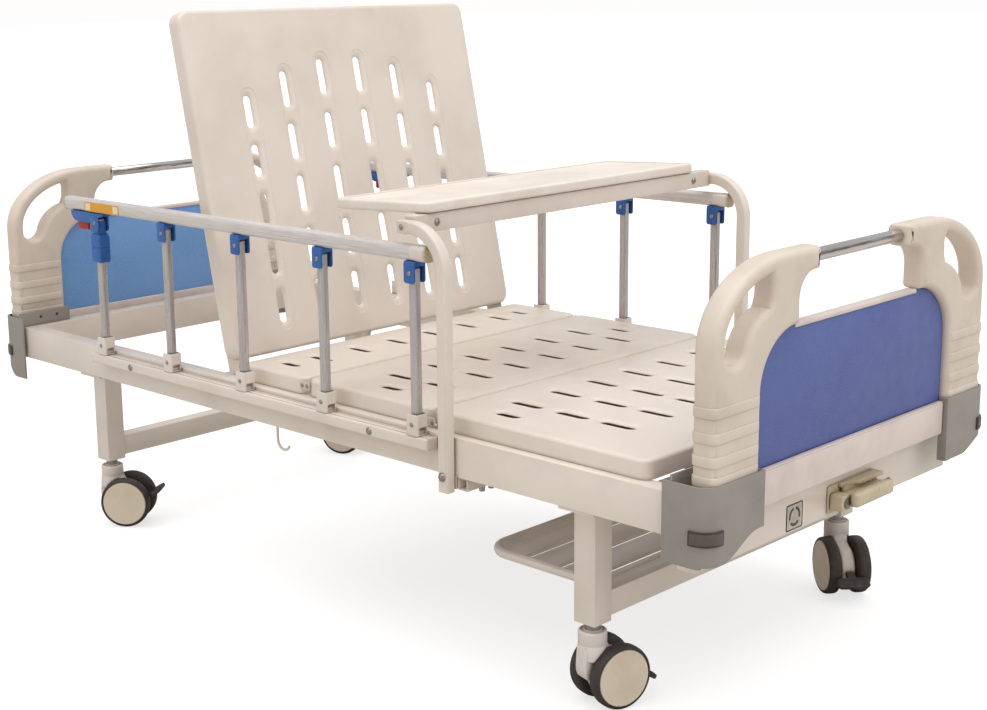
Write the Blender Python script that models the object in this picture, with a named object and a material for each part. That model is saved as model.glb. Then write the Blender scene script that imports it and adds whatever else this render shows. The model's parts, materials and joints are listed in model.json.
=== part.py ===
"""Adjustable hospital bed: frame, raised platform, guard rails, over-bed table and casters.

Metres, +Z up, floor at z = 0.  The origin is on the floor under the middle of the frame.
+X points to the foot end and -Y to the patient's right-hand side rail.
Side pieces are described for one side; `side` is -1 for the -Y side and +1 for the +Y side.
`end` is +1 for the foot end and -1 for the head end.
Heights above the casters are measured from a datum a little above the floor, see DATUM.
"""
from math import atan2, cos, degrees, pi, radians, sin, sqrt

import bmesh
import bpy
from mathutils import Matrix, Vector

# ------------------------------------------------------------------ driving dimensions
GAP = 0.0003                      # clearance between neighbouring pieces

DATUM = 0.018                     # height of the frame's zero level above the floor
LEG_BOTTOM = 0.155                # datum to the underside of the legs
RAIL_BOTTOM = 0.388
RAIL_TOP = 0.468
RAIL_OUTER = 0.490                # half-width over the side rails
RAIL_INNER = 0.450
FRAME_END = 1.084                 # half-length of the frame

LEG_SIZE = 0.050
LEG_X = {1: 0.842, -1: -0.758}    # centres of the leg pairs
LEG_Y = 0.436
STRETCHER = (0.163, 0.213)        # height of the low tube between two legs

PANEL_TOP = 0.506
PANEL_UNDER = RAIL_TOP + 0.0008
PANEL_HALF_WIDTH = 0.466
SHEET = 0.003
SEAT_X = (-0.165, 0.055)
THIGH_X = (0.065, 0.439)
CALF_X = (0.449, 0.990)
HIP_AXIS = (0.060, 0.490)
KNEE_AXIS = (0.444, 0.4755)

BACK_PIVOT = (-0.195, 0.487)
BACK_ANGLE = radians(77.9)        # the raised position that is modelled
BACK_LENGTH = 0.806
BACK_OFFSET = 0.018               # pivot to the panel's foot edge

SLOT_WIDTH = 0.020
SLOT_PITCH = 0.1214               # between slot columns

BOARD_MID = 1.115                 # middle plane of the end boards
BOARD_THICKNESS = 0.050
POST_BOTTOM = RAIL_TOP + 0.0025
HANDLE_TOP = 0.872
HANDLE_HEIGHT = 0.044
BAR_RADIUS = 0.0125

SLEEVE_OUTER_X = 1.1465
SLEEVE_OUTER_Y = 0.502
SLEEVE_WALL = 0.0045
# per sleeve: lowest height, plane of the lower edge, its depth range, where it bends, heights there
SLEEVE_CUTS = {"corner_sleeve_foot_right": (0.345, "YZ", (1.1265, 1.1565), (0.350, 0.460), (0.389, 0.349)),
               "corner_sleeve_foot_left": (0.360, "YZ", (1.0300, 1.1565), (0.400, 0.497), (0.3605, 0.391)),
               "corner_sleeve_head_right": (0.330, "XZ", (0.3200, 0.5120), (1.094, 1.142), (0.3305, 0.366)),
               "corner_sleeve_head_left": (0.345, "YZ", (1.1265, 1.1565), (0.350, 0.460), (0.389, 0.349))}

GUARD_Y = 0.506                   # middle plane of a guard rail
GUARD_POSTS = [-0.647 + 0.2735 * i for i in range(5)]
GUARD_LOW_PIVOT = 0.485
GUARD_HIGH_PIVOT = 0.791
GUARD_TOP = 0.846
POST_HALF = 0.012

TABLE_PIVOT = (0.5265, 0.391)
TABLE_Y = 0.505
TABLE_TUBE = 0.025
TABLE_BEND = 0.085
TABLE_ARM = 0.8795                # height of the arm's centre line
BOARD_HINGE = (0.4395, 0.9015)
TABLE_SAG = radians(2.5)

SCREW_Y = 0.0
SCREW_Z = 0.343
SCREW_RADIUS = 0.008
SCREW_START = -0.030               # the head end of the screw, inside the push tube
LIFT_RADIUS = 0.162               # pivot to the lifting pin
LIFT_LEAN = BACK_ANGLE / 2

WHEEL_RADIUS = 0.064
WHEEL_TRAIL = 0.041
TYRE = (0.0180, 0.0480)           # distances of a tyre's faces from the caster's middle plane
HOUSING_RADIUS = 0.028
FORK_HALF = 0.0168
PEDAL_AXIS = (0.085, 0.068)       # x and z of the brake pedal's hinge
PEDAL_DOWN, PEDAL_UP = radians(32), radians(-32)
# Each caster: end, side, heading of its trailing wheels, and how its brake pedal stands.
CASTERS = {"foot_right": (1, -1, radians(74.3), PEDAL_DOWN), "head_right": (-1, -1, radians(39.1), PEDAL_UP),
           "foot_left": (1, 1, radians(-39.6), PEDAL_DOWN), "head_left": (-1, 1, radians(203), PEDAL_UP)}

SIDES = {"right": -1, "left": 1}
ENDS = {"foot": 1, "head": -1}


# ------------------------------------------------------------------ scene and helpers
def clear_scene():
    for obj in list(bpy.data.objects):
        bpy.data.objects.remove(obj, do_unlink=True)


def make_collection(name):
    collection = bpy.data.collections.new(name)
    bpy.context.scene.collection.children.link(collection)
    return collection


clear_scene()
BED = make_collection("adjustable_hospital_bed")
BLANKS = make_collection("cutters_and_blanks")


def make_material(name, colour, roughness, metallic=0.0):
    material = bpy.data.materials.new(name)
    material.use_nodes = True
    shader = material.node_tree.nodes["Principled BSDF"]
    shader.inputs["Base Color"].default_value = (*colour, 1.0)
    shader.inputs["Roughness"].default_value = roughness
    shader.inputs["Metallic"].default_value = metallic
    return material


IVORY_PAINT = make_material("ivory_paint", (0.78, 0.73, 0.66), 0.35)
IVORY_PLASTIC = make_material("ivory_plastic", (0.83, 0.78, 0.70), 0.42)
BLUE_BOARD = make_material("blue_board", (0.09, 0.14, 0.42), 0.55)
GREY_PLASTIC = make_material("grey_plastic", (0.30, 0.29, 0.27), 0.45)
BLUE_PLASTIC = make_material("blue_plastic", (0.03, 0.17, 0.50), 0.40)
RED_PLASTIC = make_material("red_plastic", (0.45, 0.01, 0.01), 0.40)
CREAM_PLASTIC = make_material("cream_plastic", (0.55, 0.48, 0.35), 0.40)
BLACK_RUBBER = make_material("black_rubber", (0.05, 0.04, 0.04), 0.70)
CASTER_GREY = make_material("caster_grey", (0.62, 0.60, 0.57), 0.40)
ALUMINIUM = make_material("aluminium", (0.62, 0.62, 0.64), 0.35, 1.0)
CHROME = make_material("chrome", (0.80, 0.80, 0.82), 0.08, 1.0)
STEEL = make_material("zinc_steel", (0.50, 0.49, 0.47), 0.40, 1.0)


def blank(mesh, matrix=None):
    """A working object that later becomes part of a piece, or cuts one."""
    obj = bpy.data.objects.new("blank", mesh)
    obj.matrix_world = matrix or Matrix.Identity(4)
    obj.hide_render = True
    obj.display_type = "WIRE"
    BLANKS.objects.link(obj)
    return obj


def from_bmesh(mesh_data, matrix=None):
    mesh = bpy.data.meshes.new("blank")
    mesh_data.to_mesh(mesh)
    mesh_data.free()
    return blank(mesh, matrix)


def box(x, y, z):
    """A block between the given limits; each pair may be in either order."""
    limits = [sorted(pair) for pair in (x, y, z)]
    size = [high - low for low, high in limits]
    centre = [(high + low) / 2 for low, high in limits]
    cube = bmesh.new()
    bmesh.ops.create_cube(cube, size=1.0)
    bmesh.ops.scale(cube, vec=size, verts=cube.verts)
    return from_bmesh(cube, Matrix.Translation(centre))


def rod(start, end, radius, sides=20, end_radius=None):
    """A round bar, or a cone frustum, between two points."""
    start, end = Vector(start), Vector(end)
    direction = end - start
    turned = direction.to_track_quat("Z", "Y").to_matrix().to_4x4()
    cylinder = bmesh.new()
    bmesh.ops.create_cone(cylinder, cap_ends=True, segments=sides, radius1=radius,
                          radius2=end_radius or radius, depth=direction.length)
    return from_bmesh(cylinder, Matrix.Translation((start + end) / 2) @ turned)


# Columns of the matrix that stands a flat drawing up in each plane.
PLANES = {"XY": Matrix(((1, 0, 0), (0, 1, 0), (0, 0, 1))),
          "XZ": Matrix(((1, 0, 0), (0, 0, -1), (0, 1, 0))),
          "YZ": Matrix(((0, 0, 1), (1, 0, 0), (0, 1, 0)))}


def curve_to_blank(curve, matrix):
    """Turn a curve into a welded mesh blank."""
    drawn = bpy.data.objects.new("curve", curve)
    drawn.matrix_world = matrix
    BLANKS.objects.link(drawn)
    depsgraph = bpy.context.evaluated_depsgraph_get()
    mesh = bpy.data.meshes.new_from_object(drawn.evaluated_get(depsgraph))
    bpy.data.objects.remove(drawn, do_unlink=True)
    mesh.materials.clear()
    welded = bmesh.new()
    welded.from_mesh(mesh)
    bmesh.ops.remove_doubles(welded, verts=welded.verts, dist=0.00002)
    bmesh.ops.recalc_face_normals(welded, faces=welded.faces)
    welded.to_mesh(mesh)
    welded.free()
    return blank(mesh, matrix)


def plate(loops, plane, low, high, rounding=0.0, steps=2):
    """Extrude closed outlines, holes included, from `low` to `high` across a plane."""
    curve = bpy.data.curves.new("outline", "CURVE")
    curve.dimensions = "2D"
    curve.fill_mode = "BOTH"
    curve.extrude = abs(high - low) / 2 - rounding
    curve.bevel_depth = rounding
    curve.bevel_resolution = steps
    curve.offset = -rounding
    for loop in loops:
        spline = curve.splines.new("POLY")
        spline.points.add(len(loop) - 1)
        for point, (u, v) in zip(spline.points, loop):
            point.co = (u, v, 0.0, 1.0)
        spline.use_cyclic_u = True
    turn = PLANES[plane]
    normal = turn @ Vector((0, 0, 1))
    axis = "XYZ".index(({"X", "Y", "Z"} - set(plane)).pop())
    place = Vector((0, 0, 0))
    place[axis] = (low + high) / 2
    matrix = Matrix.Translation(place) @ turn.to_4x4()
    assert abs(abs(normal[axis]) - 1.0) < 1e-6
    return curve_to_blank(curve, matrix)


def bent_tube(points, radius):
    """A round tube along a poly-line."""
    curve = bpy.data.curves.new("tube", "CURVE")
    curve.dimensions = "3D"
    curve.bevel_depth = radius
    curve.bevel_resolution = 2
    curve.use_fill_caps = True
    spline = curve.splines.new("POLY")
    spline.points.add(len(points) - 1)
    for target, point in zip(spline.points, points):
        target.co = (*point, 1.0)
    return curve_to_blank(curve, Matrix.Identity(4))


def arc(centre, radii, start, end, steps):
    """Points on an ellipse arc, angles in degrees."""
    points = []
    for i in range(steps + 1):
        angle = radians(start + (end - start) * i / steps)
        points.append((centre[0] + radii[0] * cos(angle), centre[1] + radii[1] * sin(angle)))
    return points


def rounded_rectangle(u, v, radius, steps=4):
    (u0, u1), (v0, v1) = sorted(u), sorted(v)
    size = (radius, radius)
    return (arc((u1 - radius, v0 + radius), size, -90, 0, steps)
            + arc((u1 - radius, v1 - radius), size, 0, 90, steps)
            + arc((u0 + radius, v1 - radius), size, 90, 180, steps)
            + arc((u0 + radius, v0 + radius), size, 180, 270, steps))


def flip(loop, sign):
    """Mirror an outline's first coordinate when sign is -1."""
    return [(sign * u, v) for u, v in loop]


def tidy(mesh):
    """Weld stray duplicates that a Boolean leaves, and drop flat faces."""
    data = bmesh.new()
    data.from_mesh(mesh)
    bmesh.ops.remove_doubles(data, verts=data.verts, dist=0.000005)
    bmesh.ops.dissolve_degenerate(data, edges=data.edges, dist=0.000005)
    data.to_mesh(mesh)
    data.free()


def fuse(parts, cuts=()):
    """Union the blanks in `parts`, take `cuts` away, and return one blank."""
    base = parts[0]
    jobs = [(part, "UNION") for part in parts[1:]] + [(cut, "DIFFERENCE") for cut in cuts]
    for other, operation in jobs:
        modifier = base.modifiers.new(operation, "BOOLEAN")
        modifier.operation = operation
        modifier.solver = "EXACT"
        modifier.object = other
    bpy.context.view_layer.update()
    depsgraph = bpy.context.evaluated_depsgraph_get()
    mesh = bpy.data.meshes.new_from_object(base.evaluated_get(depsgraph))
    mesh.transform(base.matrix_world)
    for used in [*parts, *cuts]:
        bpy.data.objects.remove(used, do_unlink=True)
    tidy(mesh)
    return blank(mesh)


def place(obj, point):
    """Put an object's origin at a point whose height is given from the datum."""
    obj.location = Vector(point) + Vector((0, 0, DATUM))


def piece(name, shape, material, pivot=(0, 0, 0), turn=None, round_shape=True):
    """Turn a blank into a finished piece whose origin is on its joint's axis, given from the datum."""
    if isinstance(shape, (list, tuple)):
        shape = fuse(shape)
    mesh = shape.data.copy()
    mesh.transform(Matrix.Translation(-Vector(pivot)) @ shape.matrix_world)
    bpy.data.objects.remove(shape, do_unlink=True)
    mesh.name = name
    mesh.materials.clear()
    mesh.materials.append(material)
    if round_shape:
        mesh.shade_smooth()
        mesh.set_sharp_from_angle(angle=radians(35))
    obj = bpy.data.objects.new(name, mesh)
    place(obj, pivot)
    if turn:
        obj.rotation_euler = turn
    BED.objects.link(obj)
    return obj


# ------------------------------------------------------------------ frame and legs
def build_main_frame():
    rail_z = (RAIL_BOTTOM, RAIL_TOP)
    parts = [box((-FRAME_END, FRAME_END), (side * RAIL_INNER, side * RAIL_OUTER), rail_z)
             for side in SIDES.values()]
    reach = RAIL_INNER + 0.005
    parts.append(box((-FRAME_END, -FRAME_END + 0.040), (-reach, reach),
                     (RAIL_BOTTOM + 0.0002, RAIL_TOP - 0.0002)))
    for middle in (-0.360, HIP_AXIS[0], KNEE_AXIS[0]):
        parts.append(box((middle - 0.0125, middle + 0.0125), (-reach, reach), (0.405, 0.430)))
    half = TABLE_TUBE / 2
    for side in SIDES.values():
        stub = (side * 0.350, side * (RAIL_OUTER + 0.0012))
        parts.append(box((TABLE_PIVOT[0] - half, TABLE_PIVOT[0] + half), stub,
                         (RAIL_BOTTOM - 0.0250, RAIL_BOTTOM + 0.0010)))
    bearing = box((KNEE_AXIS[0] - 0.004, KNEE_AXIS[0] + 0.004), (SCREW_Y - 0.022, SCREW_Y + 0.022),
                  (SCREW_Z - 0.018, 0.410))
    parts.append(bearing)
    screw_hole = rod((KNEE_AXIS[0] - 0.03, SCREW_Y, SCREW_Z), (KNEE_AXIS[0] + 0.03, SCREW_Y, SCREW_Z),
                     SCREW_RADIUS + 0.0006)
    piece("main_frame", fuse(parts, [screw_hole]), IVORY_PAINT, round_shape=False)


def build_foot_end_panel():
    """The folded sheet box across the foot end, which carries the crank."""
    face = FRAME_END - GAP
    height = (0.313, RAIL_TOP - 0.0004)
    width = RAIL_INNER - 2 * GAP
    wall = 0.003
    shell = box((face - 0.040, face), (-width, width), height)
    hollow = box((face - 0.060, face - wall), (-width + wall, width - wall),
                 (height[0] + wall, height[1] - wall))
    shaft = rod((face - 0.05, SCREW_Y, SCREW_Z), (face + 0.05, SCREW_Y, SCREW_Z), SCREW_RADIUS + 0.001)
    piece("foot_end_panel", fuse([shell], [hollow, shaft]), IVORY_PAINT, round_shape=False)


def build_leg_frame(name, end):
    """Two legs, the low stretcher between them and their top plates under the rails."""
    half = LEG_SIZE / 2
    middle = LEG_X[end]
    parts = []
    stems = []
    for side in SIDES.values():
        leg_y = side * LEG_Y
        parts.append(box((middle - half, middle + half), (leg_y - half, leg_y + half),
                         (LEG_BOTTOM, RAIL_BOTTOM - GAP)))
        parts.append(box((middle - 0.042, middle + 0.042), (side * 0.372, side * (RAIL_OUTER - 0.002)),
                         (RAIL_BOTTOM - 0.006, RAIL_BOTTOM - 2 * GAP)))
        stems.append(rod((middle, leg_y, LEG_BOTTOM - 0.01), (middle, leg_y, LEG_BOTTOM + 0.030), 0.0064))
    reach = LEG_Y - half + 0.004
    parts.append(box((middle - 0.020, middle + 0.020), (-reach, reach), STRETCHER))
    piece(name, fuse(parts, stems), IVORY_PAINT, round_shape=False)


def build_shoe_rack():
    """A bent tube with flat slats, fixed to the foot stretcher."""
    tube = 0.010
    z = STRETCHER[1] - 0.008
    start = LEG_X[1] - 0.020 - GAP
    head_x, side_y, bend = 0.517, 0.380, 0.058
    outline = [(start, -side_y)]
    outline += [(x, -y) for x, y in arc((head_x + bend, side_y - bend), (bend, bend), 90, 180, 6)]
    outline += arc((head_x + bend, side_y - bend), (bend, bend), 180, 90, 6)
    outline.append((start, side_y))
    parts = [bent_tube([(x, y, z) for x, y in outline], tube)]
    slat_width, slat_pitch = 0.068, 0.084
    for i in range(4):
        x = head_x + 0.025 + i * slat_pitch
        parts.append(box((x, min(x + slat_width, start)), (-side_y, side_y), (z - 0.004, z + 0.004)))
    piece("shoe_rack", fuse(parts), IVORY_PAINT, round_shape=False)


def build_drainage_hook():
    """A bent wire under the right-hand rail for a drainage bag."""
    wire, radius = 0.003, 0.021
    x, y, top = -0.036, -0.470, RAIL_BOTTOM - GAP
    path = [(x, y, top)]
    for u, v in arc((x + radius, top - 0.036), (radius, radius), 180, 330, 10):
        path.append((u, y, v))
    piece("drainage_hook", bent_tube(path, wire), IVORY_PAINT)


# ------------------------------------------------------------------ end boards
def post_outline():
    """Outline of an end-board post in (y, z), y pointing outwards, and its handhold."""
    panel_side, web = 0.338, 0.220
    outer = 0.480
    crown = (0.270, 0.726)
    crown_radii = (outer - crown[0], HANDLE_TOP - crown[1])
    handle_end = 0.156
    handle_bottom = HANDLE_TOP - HANDLE_HEIGHT
    panel_corner = (web - 0.0005, 0.630)
    corner_radii = (panel_side - panel_corner[0], 0.107)
    loop = [(panel_side, POST_BOTTOM), (outer, POST_BOTTOM)]
    loop += arc(crown, crown_radii, 0, 90, 12)
    loop += [(handle_end, HANDLE_TOP), (handle_end, handle_bottom)]
    loop += arc((web - 0.050, handle_bottom - 0.047), (0.050, 0.047), 90, 0, 5)
    loop += arc(panel_corner, corner_radii, 90, 0, 7)

    band = 0.030
    handhold = [(0.307, 0.797), (0.306, 0.825)]
    handhold += arc(crown, (crown_radii[0] - band, crown_radii[1] - band), 76, -5, 5)
    handhold += arc((0.421, 0.716), (0.029, 0.023), -15, -150, 3)
    handhold += arc((0.290, 0.694), (0.103, 0.088), 12, 76, 2)
    return loop, handhold


def build_end_board(end_name, end):
    """Two moulded posts, the panel with its trims, and the bar between the handles."""
    middle = end * BOARD_MID
    half = BOARD_THICKNESS / 2
    bar_z = HANDLE_TOP - HANDLE_HEIGHT / 2
    outline, handhold = post_outline()
    bar_end = 0.172
    for side_name, side in SIDES.items():
        post = plate([flip(outline, side), flip(handhold, side)], "YZ", middle - half, middle + half,
                     rounding=0.013)
        socket = rod((middle, 0, bar_z), (middle, side * (bar_end + 0.0005), bar_z), BAR_RADIUS + 0.0004)
        piece(f"{end_name}board_post_{side_name}", fuse([post], [socket]), IVORY_PLASTIC)

    panel_side, web = 0.3375, 0.2190
    sheet = [(-panel_side, 0.448), (panel_side, 0.448)]
    corner = arc((web, 0.630), (panel_side - web, 0.1064), 0, 90, 7)
    sheet += corner + [(-y, z) for y, z in reversed(corner)]
    face = 0.009
    board = plate([sheet], "YZ", middle - face, middle + face)
    lower_trim = box((middle - end * 0.011, middle + end * 0.022), (-0.332, 0.332), (0.4175, 0.484))
    upper_trim = box((middle - 0.011, middle + 0.011), (-web, web), (0.7275, 0.7368))
    piece(f"{end_name}board_panel", fuse([board, lower_trim, upper_trim]), BLUE_BOARD, round_shape=False)
    piece(f"{end_name}board_bar", rod((middle, -bar_end, bar_z), (middle, bar_end, bar_z), BAR_RADIUS, 24),
          CHROME)


def build_corner_sleeve(name, end, side):
    """A plastic corner shell outside the frame, with an inner plate behind the post."""
    corner, wall = 0.035, SLEEVE_WALL
    inboard_x, inboard_y = 1.047, 0.3325
    x, y = SLEEVE_OUTER_X, SLEEVE_OUTER_Y
    outer = [(inboard_x, y)] + arc((x - corner, y - corner), (corner, corner), 90, 0, 6) + [(x, inboard_y)]
    inner = [(x - wall, inboard_y)]
    inner += arc((x - corner, y - corner), (corner - wall, corner - wall), 0, 90, 6)
    inner += [(inboard_x, y - wall)]
    plan = [(end * u, side * v) for u, v in outer + inner]
    shell = plate([plan], "XY", SLEEVE_CUTS[name][0], 0.493)
    back_plate = box((end * 1.0625, end * 1.0665), (side * (y - wall - 0.004 + 0.006), side * 0.345),
                     (RAIL_TOP + 0.0005, 0.505))
    flange = box((end * 1.1275, end * (x - 0.001)), (side * inboard_y, side * 0.3370), (SLEEVE_CUTS[name][0], 0.493))
    _, plane, across, along, heights = SLEEVE_CUTS[name]
    under = [(along[0] - 0.05, 0.320), (along[0] - 0.05, heights[0])]
    steps = 8
    for i in range(steps + 1):
        t = i / steps
        under.append((along[0] + (along[1] - along[0]) * t,
                      heights[0] + (heights[1] - heights[0]) * (3 * t * t - 2 * t ** 3)))
    under += [(along[1] + 0.06, heights[1] - 0.0005), (along[1] + 0.06, 0.320)]
    sign, depth_sign = (side, end) if plane == "YZ" else (end, side)
    sweep = plate([flip(under, sign)], plane, *[depth_sign * value for value in across])
    piece(name, fuse([shell, back_plate, flange], [sweep]), GREY_PLASTIC)


# ------------------------------------------------------------------ sleeping platform
def pan(x, half_width, under, top, slots, notches=(), corner=0.034, edge=0.011):
    """A pressed sheet pan, open below, with rounded slots through its top and notched walls."""
    outline = rounded_rectangle(x, (-half_width, half_width), corner)
    body = plate([outline], "XY", under - 0.02, top, rounding=edge)
    below = box((x[0] - 0.1, x[1] + 0.1), (-half_width - 0.1, half_width + 0.1), (under - 0.1, under))
    inner_x = (x[0] + SHEET, x[1] - SHEET)
    inner = rounded_rectangle(inner_x, (-half_width + SHEET, half_width - SHEET), corner - SHEET)
    hollow = plate([inner], "XY", under - 0.03, top - SHEET, rounding=edge - SHEET)
    openings = [slot_loop(*slot) for slot in slots]
    windows = plate(openings, "XY", under, top + 0.01)
    return fuse([body], [below, hollow, windows, *notches])


def slot_loop(x, y, length):
    """A round-ended slot that runs along X."""
    radius = SLOT_WIDTH / 2
    straight = length / 2 - radius
    return (arc((x + straight, y), (radius, radius), -90, 90, 4)
            + arc((x - straight, y), (radius, radius), 90, 270, 4))


def column_positions():
    """Signed y of the six slot columns, with the column's number counted from the middle."""
    for number in range(3):
        for side in SIDES.values():
            yield side * SLOT_PITCH * (number + 0.5), number


def seat_slots():
    slots = [(-0.069, y, 0.074) for y, _ in column_positions()]
    return slots + [(-0.077, side * 0.389, 0.060) for side in SIDES.values()]


def thigh_slots():
    slots = [(x, y, 0.080) for y, _ in column_positions() for x in (0.196, 0.314)]
    return slots + [(0.254, side * 0.389, 0.060) for side in SIDES.values()]


def calf_slots():
    slots = [(x, y, 0.082) for y, _ in column_positions() for x in (0.561, 0.681, 0.795)]
    return slots + [(0.587, side * 0.389, 0.060) for side in SIDES.values()]


def back_slots():
    """Slots of the backrest, laid flat, measured from its pivot towards the head."""
    first_row = (0.112, 0.108, 0.103)
    row_pitch = (0.131, 0.126, 0.1155)
    length = (0.086, 0.086, 0.076)
    slots = []
    for y, number in column_positions():
        for row in range(5):
            distance = BACK_OFFSET + first_row[number] + row * row_pitch[number]
            slots.append((-distance, y, length[number]))
    return slots


HINGE_PLATE = (0.4540, 0.4580)    # the thin lug plates stand between these y values
HINGE_PIN_RADIUS = 0.004


def lug(x, axis, side, reach):
    """A hinge plate that starts inside a pan at `x` and carries a pin on `axis`."""
    plate_y = (side * HINGE_PLATE[0], side * HINGE_PLATE[1])
    arm = box((x, axis[0] + reach), plate_y, (max(axis[1] - 0.0095, PANEL_UNDER), axis[1] + 0.0085))
    pin = rod((axis[0], side * 0.4390, axis[1]), (axis[0], side * 0.4630, axis[1]), HINGE_PIN_RADIUS, 12)
    return [arm, pin]


def build_platform():
    seat = [pan(SEAT_X, PANEL_HALF_WIDTH, PANEL_UNDER, PANEL_TOP, seat_slots())]
    calf = [pan(CALF_X, PANEL_HALF_WIDTH, PANEL_UNDER, PANEL_TOP, calf_slots())]
    for side in SIDES.values():
        seat += lug(SEAT_X[1] - 0.030, HIP_AXIS, side, 0.0075)
        seat += lug(SEAT_X[0] + 0.030, BACK_PIVOT, side, -0.0075)
        calf += lug(CALF_X[0] + 0.030, KNEE_AXIS, side, -0.0060)
    piece("seat_panel", fuse(seat), IVORY_PAINT)
    thigh = pan(THIGH_X, PANEL_HALF_WIDTH, PANEL_UNDER, PANEL_TOP, thigh_slots())
    piece("thigh_panel", thigh, IVORY_PAINT, pivot=(HIP_AXIS[0], 0, HIP_AXIS[1]))
    piece("calf_panel", fuse(calf), IVORY_PAINT, pivot=(KNEE_AXIS[0], 0, KNEE_AXIS[1]))


def build_backrest():
    """The backrest pan and the steel lift frame inside it, both drawn flat about the pivot."""
    pivot = (BACK_PIVOT[0], 0, BACK_PIVOT[1])
    raised = (0, BACK_ANGLE, 0)
    top = PANEL_TOP - BACK_PIVOT[1]
    under = PANEL_UNDER - BACK_PIVOT[1]
    span = (-BACK_OFFSET - BACK_LENGTH, -BACK_OFFSET)
    notches = [box((-0.030, 0.0), (side * 0.4395, side * 0.4460), (under - 0.01, 0.0100))
               for side in SIDES.values()]
    shape = pan(span, PANEL_HALF_WIDTH, under, top, back_slots(), notches)
    panel = piece("backrest_panel", shape, IVORY_PAINT, turn=raised)
    place(panel, pivot)

    inside = top - SHEET - GAP
    bar_low, bar_high = inside - 0.022, inside
    torque_z = (under - 0.0255, under - 0.0005)
    parts = [box((-0.046, -0.022), (-0.4450, 0.4450), torque_z)]
    holes = []
    for side in SIDES.values():
        y = (side * 0.396, side * 0.420)
        parts.append(box((-0.722, -0.033), y, (bar_low, bar_high)))
        parts.append(box((-0.045, -0.024), y, (torque_z[0] + 0.004, bar_low + 0.010)))
        parts.append(box((-0.042, 0.0085), (side * 0.4410, side * 0.4445), (torque_z[0] + 0.001, 0.0085)))
        holes.append(rod((0, side * 0.430, 0), (0, side * 0.470, 0), HINGE_PIN_RADIUS + 0.0005, 12))
    parts.append(box((-0.744, -0.720), (-0.420, 0.420), (bar_low, bar_high)))
    lean = LIFT_LEAN - BACK_ANGLE
    tip = (-LIFT_RADIUS * sin(lean), -LIFT_RADIUS * cos(lean))
    parts += lift_arm(tip, torque_z)
    frame = piece("backrest_lift_frame", fuse(parts, holes), IVORY_PAINT, turn=raised, round_shape=False)
    place(frame, pivot)


def lift_arm(tip, torque_z):
    """A flat arm from the torque tube to the lifting pin, in the flat backrest's own frame."""
    root = (-0.034, sum(torque_z) / 2)
    length = sqrt((tip[0] - root[0]) ** 2 + (tip[1] - root[1]) ** 2)
    angle = degrees(atan2(tip[1] - root[1], tip[0] - root[0]))
    half = 0.011
    outline = arc(tip, (half, half), angle - 90, angle + 90, 5) + arc(root, (half, half), angle + 90,
                                                                      angle + 270, 5)
    assert length > 2 * half
    blade = plate([outline], "XZ", SCREW_Y - 0.004, SCREW_Y + 0.004)
    pin = rod((tip[0], SCREW_Y - 0.017, tip[1]), (tip[0], SCREW_Y + 0.017, tip[1]), 0.005, 16)
    return [blade, pin]


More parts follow.
